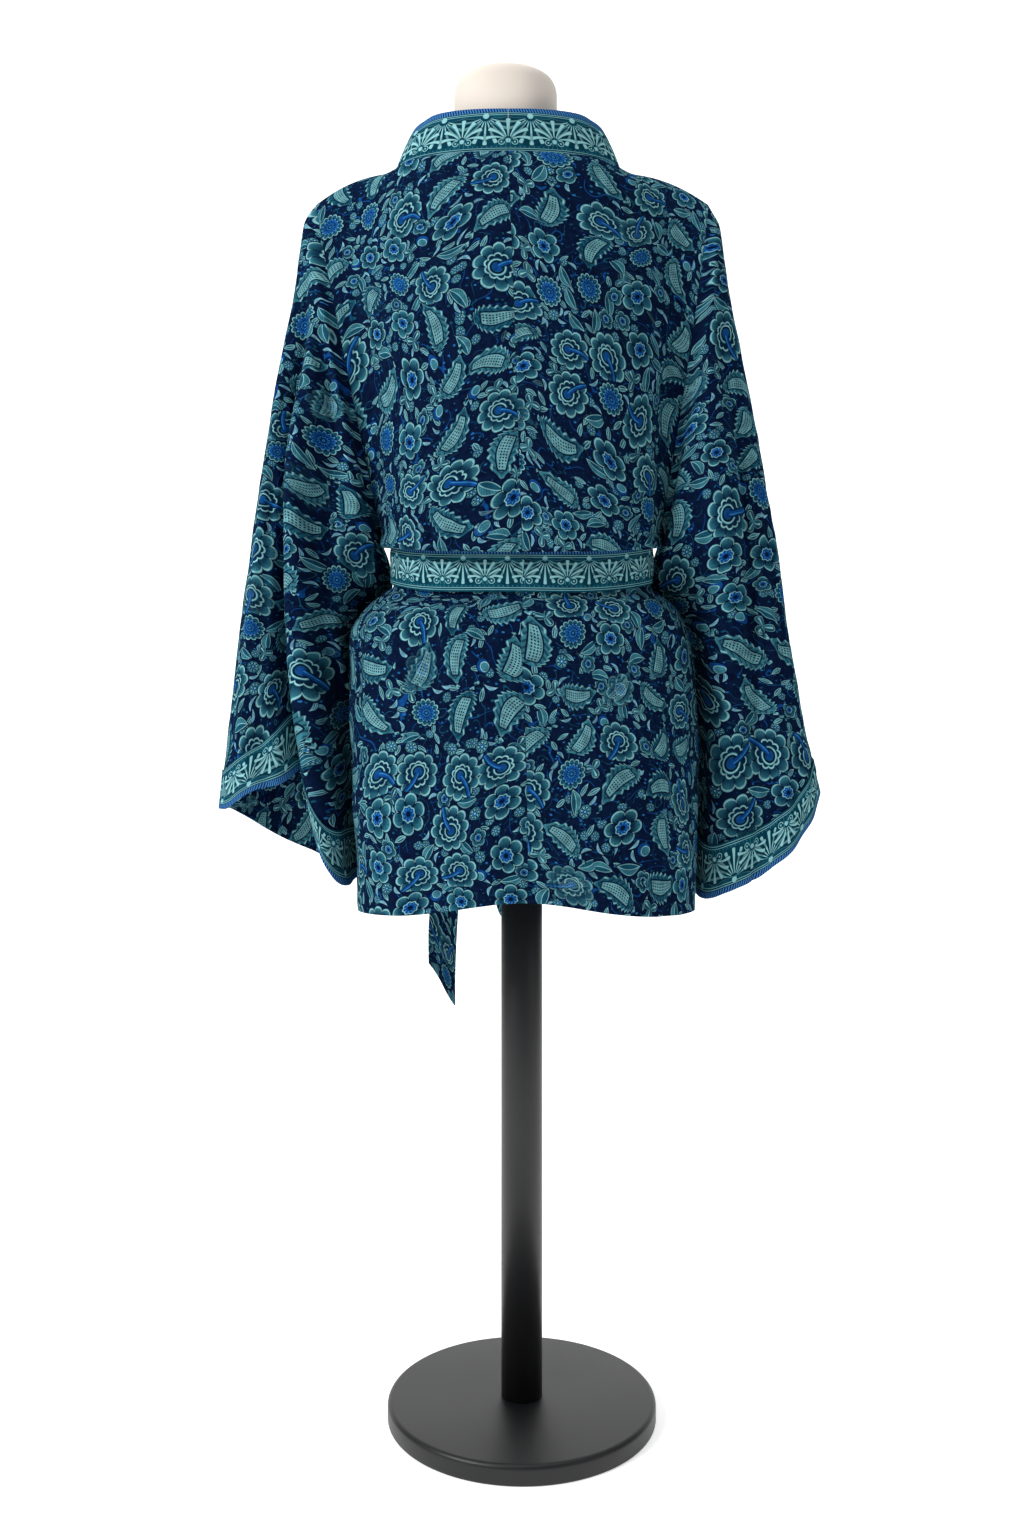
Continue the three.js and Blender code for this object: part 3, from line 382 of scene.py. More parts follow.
def lower_point(face, u, down):
    section = columns(BODY, "z frontZ tilt halfWidth back front x", down)
    angle = u * math.pi / 2 if face > 0 else math.pi - u * math.pi / 2
    x, y = rounded(section, angle, ROUNDNESS)
    rise = HEM_RISE["height"] * smooth(HEM_RISE["from"], 1, down) * bump(x, HEM_RISE["halfWidth"])
    if face > 0:
        height = section["z"] + rise
    else:
        height = mix(section["frontZ"], section["z"], smooth(0.7, 1, np.abs(u)))
    return points(x, y, height - section["tilt"] * BELT_TILT * np.cos(angle))


def top_point(face, u):
    side = np.where(u < 0, -1, 1)
    share = np.abs(u) / NECK["share"]
    angle = np.minimum(share, 1) * math.pi / 2
    reach, fall = np.sin(angle), np.cos(angle)
    end_z = NECK["backZ"] if face > 0 else FRONT_NECK["z"]
    neck_y = -NECK["depth"] * fall if face > 0 else FRONT_NECK["y"] * fall
    neck_x = NECK["x"] + side * NECK["halfWidth"] * reach
    neck_z = mix(NECK["sideZ"], end_z, fall**2)
    past = np.clip((np.abs(u) - NECK["share"]) / (1 - NECK["share"]), 0, 1)
    tip_x = SHOULDER["x"] + side * SHOULDER["halfWidth"]
    line_x = mix(NECK["x"] + side * NECK["halfWidth"], tip_x, past)
    line_z = NECK["sideZ"] - SHOULDER["drop"] * past ** SHOULDER["curve"]
    pairs = ((neck_x, line_x), (neck_y, 0), (neck_z, line_z))
    return points(*(np.where(share < 1, on_neck, past_neck) for on_neck, past_neck in pairs))


def soft_top_point(face, u, level):
    reach = np.minimum(np.minimum(0.3, 1.1 * level), 1 - np.abs(u))
    return sum(top_point(face, u + step * reach) for step in (-1, -0.5, 0, 0.5, 1)) / 5


def body_point(face, u, level):
    """A point of the body. level is 0 at the shoulder, 1 at the underarm and 2 at the hem."""
    u, level = np.broadcast_arrays(np.asarray(u, float), np.asarray(level, float))
    angle = u * math.pi / 2
    upper = np.minimum(level, 1)
    top, low = soft_top_point(face, u, upper), lower_point(face, u, np.maximum(level - 1, 0))
    turn = upper * math.pi
    down = ((1 - np.cos(turn)) / 2)[..., None]
    roll = np.sin(np.minimum(turn, math.pi / 2))[..., None]
    share = np.concatenate([down, roll, down], axis=-1)
    place = mix(top, low, share)
    place[..., 1] -= face * ARMHOLE_DEPTH * np.sin(turn) * np.abs(u) ** 6
    folds, creases = (BACK_FOLDS, BACK_CREASES) if face > 0 else (FRONT_FOLDS, FRONT_CREASES)
    out = fold_out(folds, u, level) + fold_out(creases, u, level)
    held = smooth(0.02, 0.2, level) * (1 - smooth(1.04, 1.13, level) * (1 - smooth(1.3, 1.42, level)))
    side_on = 1 - np.abs(u) ** 10
    out = out + 1.3 * held * side_on * ripple(place[..., 0], place[..., 2], 11 if face > 0 else 12, 70)
    out = out + 0.55 * held * side_on * ripple(place[..., 0], place[..., 2], 21 if face > 0 else 22, 27)
    direction = points(0.4 * np.sin(angle), -face * np.maximum(0.3, np.cos(angle)), np.zeros_like(angle))
    return place + unit(direction) * out[..., None]


def under_body(face, u, level, depth):
    """A point at a depth under the body's cloth, measured square to it."""
    small = 0.002
    down = body_point(face, u, level + small) - body_point(face, u, np.maximum(0, level - small))
    across = body_point(face, np.minimum(1, u + small), level)
    across = across - body_point(face, np.maximum(-1, u - small), level)
    return body_point(face, u, level) + face * depth[..., None] * unit(np.cross(across, down))


def underlap(side, u, level):
    if side < 0:
        return np.zeros_like(u)
    return UNDERLAP_DEPTH * (1 - smooth(0.62, 0.9, u)) * smooth(0.25, 0.6, level)


# The sleeves.


def sleeve_point(rows, folds, degrees, at):
    """A point of a sleeve, and how far its folds raise it."""
    degrees, at = np.broadcast_arrays(np.asarray(degrees, float), np.asarray(at, float))
    row = columns(rows, "outerX outerZ innerX innerZ depth y", at)
    zero = np.zeros_like(at)
    outer = points(row["outerX"], zero, row["outerZ"])
    inner = points(row["innerX"], zero, row["innerZ"])
    axis = (outer - inner) / 2
    length = np.linalg.norm(axis, axis=-1)
    across = axis / length[..., None]
    angle = np.radians(degrees)
    s, c = np.sin(angle), np.cos(angle)
    place = (outer + inner) / 2 + axis * c[..., None]
    place[..., 1] = row["y"] - row["depth"] * s
    normal = across * (row["depth"] * c)[..., None]
    normal[..., 1] -= length * s
    normal = unit(normal)
    lifted = np.minimum(1, at / RISE_FULL) ** 4
    rises = zero.copy()
    for fold in folds:
        centre = mix(fold["angle"], fold["lowerAngle"], at ** fold["power"])
        away = (degrees - centre + 540) % 360 - 180
        fading = 1 - smooth(fold["fades"], fold["fades"] + 0.35, at)
        height = bump(away, fold["width"]) * (smooth(fold["from"], fold["full"], at) * fading)
        place = place + normal * (fold["out"] * height)[..., None]
        place = place + across * (fold["lean"] * height)[..., None]
        place[..., 1] += fold["forward"] * height
        rises += fold["rise"] * height * lifted
    place[..., 2] += rises
    loose = smooth(0.0, 0.12, at) * (1 - 0.6 * smooth(0.86, 0.95, at))

    # Uneven waves over about the millimetres round and down the sleeve, none along its outer fold.
    around, down, right = degrees * 1.4, at * 560, int(rows[0]["outerX"] > 0)
    uneven = 1.2 * ripple(around, down, 31 + right, 60) + 0.5 * ripple(around, down, 41 + right, 24)
    uneven = uneven * (1 - bump((degrees + 180) % 360 - 180, 8))
    return place + normal * (uneven * loose)[..., None], rises


# Walls of cloth.


def grid_normals(grid, ring=False):
    """The directions that face out of a grid: away from a ring's middle, or from the z axis."""
    if ring:
        across = np.roll(grid, -1, axis=1) - np.roll(grid, 1, axis=1)
        away = grid - grid.mean(axis=1, keepdims=True)
    else:
        across = np.gradient(grid, axis=1)
        away = grid * np.array([1, 1, 0])
    normals = unit(np.cross(across, np.gradient(grid, axis=0)))
    return normals * np.sign((normals * away).sum())


def share_normals(*runs):
    """Makes the directions along a seam agree, so that two walls' ends face each other."""
    mean = unit(sum(runs))
    for run in runs:
        run[...] = mean


def inset(grid, *edges, gap=SEAM / 2):
    """Moves the named borders of a grid in by a gap."""
    borders = {
        "top": (grid[0], grid[1]),
        "first": (grid[:, 0], grid[:, 1]),
        "last": (grid[:, -1], grid[:, -2]),
    }
    for edge in edges:
        border, neighbour = borders[edge]
        border += unit(neighbour - border) * gap


def wall(name, grid, normals, thickness, uv, ring=False):
    """A closed wall between a grid and the same grid moved in, smooth, with a UV map of the flat cloth."""
    rows, columns = grid.shape[:2]
    inner = grid - normals * thickness
    vertices = np.concatenate([grid.reshape(-1, 3), inner.reshape(-1, 3)]) / 1000
    spans = columns if ring else columns - 1
    r, c = np.meshgrid(np.arange(rows - 1), np.arange(spans), indexing="ij")
    a, b = r * columns + c, (r + 1) * columns + c
    right = (c + 1) % columns
    d, e = r * columns + right, (r + 1) * columns + right
    flat = c + 1
    wide = uv.shape[1]
    ua, ub = r * wide + c, (r + 1) * wide + c
    ud, ue = r * wide + flat, (r + 1) * wide + flat
    count = rows * columns
    outer = np.stack([a, b, e, d], axis=-1).reshape(-1, 4)
    outer_uv = np.stack([ua, ub, ue, ud], axis=-1).reshape(-1, 4)
    back = outer[:, ::-1] + count
    quads = [outer, back]
    coords = [outer_uv, outer_uv[:, ::-1]]
    sharp = []

    def border(first, second, first_uv, second_uv):
        quads.append(np.stack([first, second, second + count, first + count], axis=-1))
        coords.append(np.stack([first_uv, second_uv, second_uv, first_uv], axis=-1))
        sharp.append(np.stack([first, second], axis=-1))
        sharp.append(np.stack([first, second], axis=-1) + count)

    line = np.arange(spans)
    after = (line + 1) % columns
    border(line, after, line, line + 1)
    low = (rows - 1) * columns
    low_uv = (rows - 1) * wide
    border(low + after, low + line, low_uv + line + 1, low_uv + line)
    if not ring:
        side = np.arange(rows - 1)
        border((side + 1) * columns, side * columns, (side + 1) * wide, side * wide)
        far = columns - 1
        border(side * columns + far, (side + 1) * columns + far, side * wide + far, (side + 1) * wide + far)
    faces = np.concatenate(quads)
    flat_uv = uv.reshape(-1, 2)[np.concatenate(coords).reshape(-1)] / 1000
    if volume(vertices, faces) < 0:
        faces = faces[:, ::-1]
        flat_uv = flat_uv.reshape(-1, 4, 2)[:, ::-1].reshape(-1, 2)
    return mesh_object(name, vertices, faces.tolist(), flat_uv, np.concatenate(sharp))


def volume(vertices, faces):
    a, b, c, d = (vertices[faces[:, i]] for i in range(4))
    return (np.cross(a, b) * c).sum() + (np.cross(a, c) * d).sum()


def quad_faces(rows, columns, closed=True):
    """The four-cornered faces between the rows of a grid, whose rows are rings if it is closed."""
    r, c = np.meshgrid(np.arange(rows - 1), np.arange(columns if closed else columns - 1), indexing="ij")
    right = (c + 1) % columns
    corners = ((r, c), (r, right), (r + 1, right), (r + 1, c))
    return np.stack([row * columns + column for row, column in corners], axis=-1).reshape(-1, 4)


def capped_faces(vertices, rows, columns):
    """The faces of a closed solid through rings of points, with one face at each end."""
    quads = quad_faces(rows, columns)
    ring = list(range(columns))
    faces = [*quads.tolist(), ring[::-1], [(rows - 1) * columns + c for c in ring]]
    if volume(vertices, quads) < 0:
        faces = [face[::-1] for face in faces]
    return faces


def mesh_object(name, vertices, faces, uv=None, sharp=None):
    mesh = bpy.data.meshes.new(name)
    mesh.from_pydata(vertices.tolist(), [], faces)
    mesh.polygons.foreach_set("use_smooth", [True] * len(mesh.polygons))
    if uv is not None:
        layer = mesh.uv_layers.new(name="cloth")
        layer.data.foreach_set("uv", np.ascontiguousarray(uv, dtype=np.float32).reshape(-1))
    if sharp is not None:
        ends = np.empty(2 * len(mesh.edges), dtype=np.int64)
        mesh.edges.foreach_get("vertices", ends)
        codes = [np.sort(pairs.reshape(-1, 2), axis=1) @ [len(vertices), 1] for pairs in (ends, sharp)]
        mesh.edges.foreach_set("use_edge_sharp", np.isin(*codes))
    mesh.update()
    piece = bpy.data.objects.new(name, mesh)
    bpy.context.scene.collection.objects.link(piece)
    return piece


def dress(piece, material, node):
    """Gives a piece its material and its body, and hides the imported node it stands for."""
    piece.data.materials.append(material)
    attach(piece, "root")
    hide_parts(node)


def cloth(name, grid, normals, thickness, uv, material, ring=False):
    """A sewn piece: its wall, dressed in its material."""
    piece = wall(name + "_cloth", grid, normals, thickness, uv, ring)
    dress(piece, material, name)


def run_across(grid):
    """Arc length across each row, from its first column."""
    return summed(np.linalg.norm(np.diff(grid, axis=1), axis=-1), 1)


def run_up(grid):
    """Arc length up each column, from its last row."""
    return summed(np.linalg.norm(np.diff(grid, axis=0), axis=-1)[::-1])[::-1]


# Materials, built from plain arithmetic on their nodes.


class Graph:
    """A material's nodes, with short ways to add them."""

    def __init__(self, name):
        self.material = bpy.data.materials.new(name)
        self.material.use_nodes = True
        self.tree = self.material.node_tree
        self.tree.nodes.clear()

    def node(self, kind, **settings):
        made = self.tree.nodes.new(kind)
        for key, value in settings.items():
            setattr(made, key, value)
        return made

    def put(self, socket, value):
        if isinstance(value, Value):
            self.tree.links.new(value.socket, socket)
        else:
            socket.default_value = value

    def uv(self):
        return Value(self, self.node("ShaderNodeUVMap", uv_map="cloth").outputs[0])

    def place(self):
        return Value(self, self.node("ShaderNodeTexCoord").outputs["Object"])

    def split(self, vector):
        made = self.node("ShaderNodeSeparateXYZ")
        self.put(made.inputs[0], vector)
        return [Value(self, out) for out in made.outputs]

    def join(self, x, y, z=0.0):
        made = self.node("ShaderNodeCombineXYZ")
        for socket, value in zip(made.inputs, (x, y, z)):
            self.put(socket, value)
        return Value(self, made.outputs[0])

    def noise(self, vector, scale, detail=2.0, roughness=0.5, dimensions="2D"):
        made = self.node("ShaderNodeTexNoise", noise_dimensions=dimensions)
        settings = {"Vector": vector, "Scale": scale, "Detail": detail, "Roughness": roughness}
        for name, value in settings.items():
            self.put(made.inputs[name], value)
        return Value(self, made.outputs["Fac"])

    def cells(self, x, y, size, seed, randomness):
        """Scattered places: coordinates from the nearest one, and three random numbers that belong to it."""
        where = self.join(x / size + seed * 7.31, y / size + seed * 3.77)
        made = self.node("ShaderNodeTexVoronoi", voronoi_dimensions="2D", feature="F1")
        self.put(made.inputs["Vector"], where)
        made.inputs["Scale"].default_value = 1.0
        made.inputs["Randomness"].default_value = randomness
        difference = self.node("ShaderNodeVectorMath", operation="SUBTRACT")
        self.put(difference.inputs[0], where)
        self.tree.links.new(made.outputs["Position"], difference.inputs[1])
        dx, dy, _ = self.split(Value(self, difference.outputs[0]))
        split = self.node("ShaderNodeSeparateColor")
        self.tree.links.new(made.outputs["Color"], split.inputs[0])
        return dx * size, dy * size, [Value(self, out) for out in split.outputs[:3]]

    def clear_of(self, x, y, layer, reach, margin):
        """1 at a place that lies clear of a layer of motifs by a margin, and 0 elsewhere."""
        dx, dy, kinds = self.cells(x, y, **layer)
        r, _ = polar(dx, dy)
        return (r - reach(kinds)).over(margin, 0.02)

    def blend(self, share, below, above):
        made = self.node("ShaderNodeMix", data_type="RGBA", clamp_factor=True)
        self.put(made.inputs["Factor"], share)
        self.put(made.inputs[6], below)
        self.put(made.inputs[7], above)
        return Value(self, made.outputs[2])

    def paint(self, colour, *layers):
        """Lays colours over a colour one after another, each with its own share."""
        for share, above in layers:
            colour = self.blend(share, colour, above)
        return colour

    def bump(self, height, distance, strength):
        made = self.node("ShaderNodeBump")
        for name, value in (("Strength", strength), ("Distance", distance), ("Height", height)):
            self.put(made.inputs[name], value)
        return Value(self, made.outputs[0])

    def surface(self, colour, roughness, normal=None, **settings):
        shader = self.node("ShaderNodeBsdfPrincipled")
        self.put(shader.inputs["Base Color"], colour)
        self.put(shader.inputs["Roughness"], roughness)
        if normal is not None:
            self.put(shader.inputs["Normal"], normal)
        for name, value in settings.items():
            self.put(shader.inputs[name.replace("_", " ")], value)
        out = self.node("ShaderNodeOutputMaterial")
        self.tree.links.new(shader.outputs[0], out.inputs[0])
        return self.material


def one(operation):
    return lambda value: value.math(operation)


def two(operation):
    return lambda value, other: value.math(operation, other)


class Value:
    """A number or colour that comes out of a node."""

    def __init__(self, graph, socket):
        self.graph = graph
        self.socket = socket

    def math(self, operation, *others):
        made = self.graph.node("ShaderNodeMath", operation=operation)
        for socket, value in zip(made.inputs, (self, *others)):
            self.graph.put(socket, value)
        return Value(self.graph, made.outputs[0])

    __add__ = __radd__ = two("ADD")
    __sub__ = two("SUBTRACT")
    __mul__ = __rmul__ = two("MULTIPLY")
    __truediv__ = two("DIVIDE")
    __pow__ = two("POWER")
    __abs__ = one("ABSOLUTE")
    sin = one("SINE")
    cos = one("COSINE")
    sqrt = one("SQRT")
    fract = one("FRACT")
    floor = one("FLOOR")

    def below(self, limit, blur):
        """1 where the value is under a limit and 0 above it, with a soft edge."""
        return self.step(limit, blur, 1.0, 0.0)

    def over(self, limit, blur):
        return self.step(limit, blur, 0.0, 1.0)

    def step(self, limit, blur, first, last):
        made = self.graph.node("ShaderNodeMapRange", interpolation_type="SMOOTHSTEP", clamp=True)
        half = blur / 2
        settings = (self, limit - half, limit + half, first, last)
        for name, value in zip(("Value", "From Min", "From Max", "To Min", "To Max"), settings):
            self.graph.put(made.inputs[name], value)
        return Value(self.graph, made.outputs["Result"])

    def near(self, centre, half, blur):
        """1 within half of a centre and 0 away from it."""
        return abs(self - centre).below(half, blur)


def linear(*screen):
    """A colour given as 0 to 255 on a screen, as the linear light that a shader takes."""
    light = [(c / 255 / 12.92) if c <= 10 else ((c / 255 + 0.055) / 1.055) ** 2.4 for c in screen]
    return (*light, 1.0)


NAVY = linear(8, 17, 42)
DEEP = linear(10, 36, 60)
TEAL = linear(26, 84, 106)
SEA = linear(60, 126, 142)
MINT = linear(144, 202, 206)
BLUE = linear(18, 72, 140)
BRIGHT = linear(52, 132, 196)
INK = linear(7, 22, 46)
# A silky cloth's soft shine, tinted so that it stays teal where the cloth is seen edge-on.
CLOTH_SHEEN = {
    "Sheen_Weight": 0.03,
    "Sheen_Roughness": 0.4,
    "Sheen_Tint": (0.2, 0.55, 0.7, 1.0),
    "Specular_IOR_Level": 0.0,
}


def turned(x, y, angle):
    c, s = angle.cos(), angle.sin()
    return x * c + y * s, y * c - x * s


def polar(x, y):
    return (x * x + y * y).sqrt(), y.math("ARCTAN2", x)


def lay(graph, under, motif, shown=None):
    """Lays a motif over a cloth: a thin ring of ground around it, then its own colours."""
    shape, halo, fill = motif
    if shown is not None:
        shape, halo = shape * shown, halo * shown
    cleared = graph.blend(halo, under, NAVY)
    return graph.blend(shape, cleared, fill)


def great_flower(graph, x, y, radius, tint):
    """A round flower with ten petals, whose eye of rings sits to one side with a thick stem out of it."""
    r, angle = polar(x, y)
    far = r / radius
    lobe = abs((angle * 5.0).cos())
    edge = (lobe**0.45) * (0.24 * radius) + 0.76 * radius
    veins = (angle * 50.0).sin().over(0.6, 0.5) * far.over(0.62, 0.2)
    inner = (abs((angle * 5.0 + 1.2).sin()) ** 0.6) * (0.1 * radius) + 0.44 * radius
    eye, _ = polar(x, y + 0.08 * radius)
    bend = x - (y * y) * (0.35 / radius)
    stem = abs(bend).below(0.085 * radius, 0.03 * radius) * y.over(-0.02 * radius, 0.05 * radius)
    stem = stem * y.below(1.02 * radius, 0.05 * radius)
    fill = graph.paint(
        graph.blend(far.over(0.78, 0.44), graph.blend(tint * 0.4, DEEP, TEAL), SEA),
        (veins * 0.4, TEAL),
        (lobe.below(0.2, 0.16) * far.over(0.46, 0.06), INK),
        ((edge - r).near(0.055 * radius, 0.035 * radius, 0.04 * radius) * 0.85, MINT),
        (r.below(inner, 0.03 * radius), DEEP),
        ((inner - r).near(0.02 * radius, 0.03 * radius, 0.03 * radius), MINT),
        (eye.below(0.36 * radius, 0.04 * radius), TEAL),
        (eye.near(0.3 * radius, 0.025 * radius, 0.03 * radius), MINT),
        (eye.near(0.23 * radius, 0.035 * radius, 0.03 * radius), INK),
        (eye.below(0.17 * radius, 0.03 * radius), BLUE),
        (abs(bend).below(0.13 * radius, 0.03 * radius) * y.over(0.0, 1.0), INK),
        (stem, BLUE),
        (stem * (bend + 0.03 * radius).near(0.0, 0.02 * radius, 0.03 * radius), BRIGHT),
    )
    return r.below(edge, 0.6), r.below(edge + 1.3, 0.6), fill


def open_flower(graph, x, y, radius, petals, tint):
    """A flower with a few broad, shaded petals round a dotted blue heart."""
    r, angle = polar(x, y)
    far = r / radius
    lobe = abs((angle * (petals / 2)).cos())
    edge = (lobe**0.5) * (0.34 * radius) + 0.66 * radius
    veins = (angle * (petals * 4.0)).sin().over(0.5, 0.5) * far.over(0.5, 0.2)
    ring = 0.36 * radius + (angle * 8.0).cos() * (0.03 * radius)
    dots = (angle * 9.0).cos().over(0.3, 0.4) * r.near(0.24 * radius, 0.04 * radius, 0.03 * radius)
    fill = graph.paint(
        graph.blend(far.over(0.74, 0.5), graph.blend(tint * 0.8, DEEP, TEAL), SEA),
        (veins * 0.45, TEAL),
        (lobe.below(0.3, 0.14) * far.over(0.36, 0.05), INK),
        ((edge - r).near(0.06 * radius, 0.035 * radius, 0.04 * radius) * 0.85, MINT),
        (r.below(ring, 0.03 * radius), BLUE),
        (r.near(ring, 0.025 * radius, 0.03 * radius), MINT),
        (dots, BRIGHT),
        (r.below(0.13 * radius, 0.03 * radius), INK),
    )
    return r.below(edge, 0.6), r.below(edge + 1.2, 0.6), fill


def rosette(graph, x, y, radius, petals):
    """A many-petalled round flower in whorls, blue at its heart and teal outside."""
    r, angle = polar(x, y)
    steps = r * (3.0 / radius)
    lobe = abs((angle * (petals / 2) + steps.floor() * 1.57).cos())
    part = steps.fract()
    petal = (lobe**0.7) * 0.6 + 0.32
    outside = (r / radius).over(0.62, 0.2)
    fill = graph.paint(
        graph.blend((r / radius).over(0.62, 0.3), BLUE, TEAL),
        (part.near(petal - 0.1, 0.1, 0.1), graph.blend(outside, BRIGHT, MINT)),
        (part.over(petal + 0.06, 0.08), INK),
        (r.below(0.15 * radius, 0.03 * radius), INK),
        (r.below(0.08 * radius, 0.03 * radius), BRIGHT),
    )
    edge = (abs((angle * (petals / 2)).cos()) ** 0.6) * (0.14 * radius) + 0.86 * radius
    return r.below(edge, 0.6), r.below(edge + 1.2, 0.6), fill


def paisley(graph, x, y, length, width, tint):
    """A bent leaf with a saw edge, and inside it a pale, dotted seed shape."""
    tooth, speck = 5.2, 2.5
    bent = x + y * y * (0.3 / length) - 0.1 * length
    share = y / length
    body = ((share * share - 1.0) * -1.0).math("MAXIMUM", 0.0)
    half = (body**0.62) * (share * -0.4 + 1.0) * width
    slope = y + abs(bent) * 0.9
    teeth = (slope * (1 / tooth)).fract() * (0.26 * width)
    gap = abs(bent) - half - teeth
    veins = (slope * (TAU / tooth)).sin().over(0.3, 0.8)
    seed = abs(bent + 0.06 * width) - half * 0.5
    ends = abs(share + 0.04)
    inside = seed.below(0.0, 0.5) * ends.below(0.68, 0.05)
    r, _ = polar(((bent / speck).fract() - 0.5) * speck, ((y / speck).fract() - 0.5) * speck)
    specks = r.below(0.75, 0.4) * seed.below(-1.0, 0.8)
    fill = graph.paint(
        graph.blend(tint, SEA, TEAL),
        (veins * 0.7, DEEP),
        (gap.near(-0.8, 0.4, 0.5) * 0.8, MINT),
        (seed.below(1.4, 0.5) * ends.below(0.74, 0.04), INK),
        (inside, graph.blend(0.5, SEA, MINT)),
        (inside * specks, INK),
    )
    return gap.below(0.0, 0.6), gap.below(1.3, 0.6), fill


def leaf(graph, x, y, length, width, dark, light):
    """A pointed leaf: one half lighter, with a rib, side veins and a lit rim."""
    share = y / length
    gap = abs(x) - ((share * share - 1.0) * -1.0).math("MAXIMUM", 0.0) * width
    veins = ((y - abs(x) * 1.2) * 2.4).sin().over(0.4, 0.6)
    fill = graph.paint(
        graph.blend(x.over(0.0, 0.5), dark, light),
        (veins * 0.45, DEEP),
        (abs(x).below(0.28, 0.3), MINT),
        (gap.near(-0.45, 0.3, 0.4) * 0.8, MINT),
    )
    return gap.below(0.0, 0.5), gap.below(1.0, 0.5), fill


def trefoil(graph, x, y, radius, tint):
    """A leaf of three lobes, each with its own rib."""
    r, angle = polar(x, y)
    lobe = abs((angle * 1.5).cos())
    edge = (lobe**1.2) * (0.8 * radius) + 0.2 * radius
    fill = graph.paint(
        graph.blend(tint, TEAL, SEA),
        ((angle * 3.0).sin().over(0.0, 0.3) * 0.5, DEEP),
        (lobe.over(0.985, 0.02) * r.below(0.8 * radius, 1.0), MINT),
        ((edge - r).near(0.4, 0.3, 0.4) * 0.8, MINT),
    )
    return r.below(edge, 0.5), r.below(edge + 1.0, 0.5), fill


def bud(graph, x, y, size):
    """A small round bud with a blue crescent."""
    r, _ = polar(x, y)
    other, _ = polar(x + 0.32 * size, y)
    fill = graph.blend(other.over(0.72 * size, 0.1 * size), SEA, BLUE)
    fill = graph.blend((other - 0.72 * size).near(0.0, 0.06 * size, 0.06 * size), fill, MINT)
    return r.below(size, 0.5), r.below(size + 1.0, 0.5), fill


def dotted_rosette(graph, x, y, size):
    """A small rosette with a ring of dots."""
    r, angle = polar(x, y)
    edge = (abs((angle * 4.0).cos()) ** 0.6) * (0.16 * size) + 0.84 * size
    dots = (angle * 8.0).cos().over(0.0, 0.5) * r.near(0.62 * size, 0.08 * size, 0.05 * size)
    fill = graph.paint(
        graph.blend(r.near(0.62 * size, 0.14 * size, 0.06 * size), SEA, DEEP),
        (dots, MINT),
        (r.below(0.34 * size, 0.06 * size), BLUE),
        (r.below(0.14 * size, 0.06 * size), MINT),
    )
    return r.below(edge, 0.5), r.below(edge + 1.0, 0.5), fill


def pick(graph, number, motif, *others):
    """Takes each further motif where a random number is over that motif's limit."""
    for limit, other in others:
        share = number.over(limit, 0.02)
        shape, halo = (mine + (theirs - mine) * share for mine, theirs in zip(motif[:2], other[:2]))
        motif = shape, halo, graph.blend(share, motif[2], other[2])
    return motif


LARGE_CELLS = {"size": 47.0, "seed": 34, "randomness": 0.4}
MIDDLE_CELLS = {"size": 21.0, "seed": 13, "randomness": 0.75}


def large_reach(kinds):
    """How far a large motif reaches from its centre, by its kind."""
    return kinds[1].below(0.62, 0.02) * 5.5 + 16.0


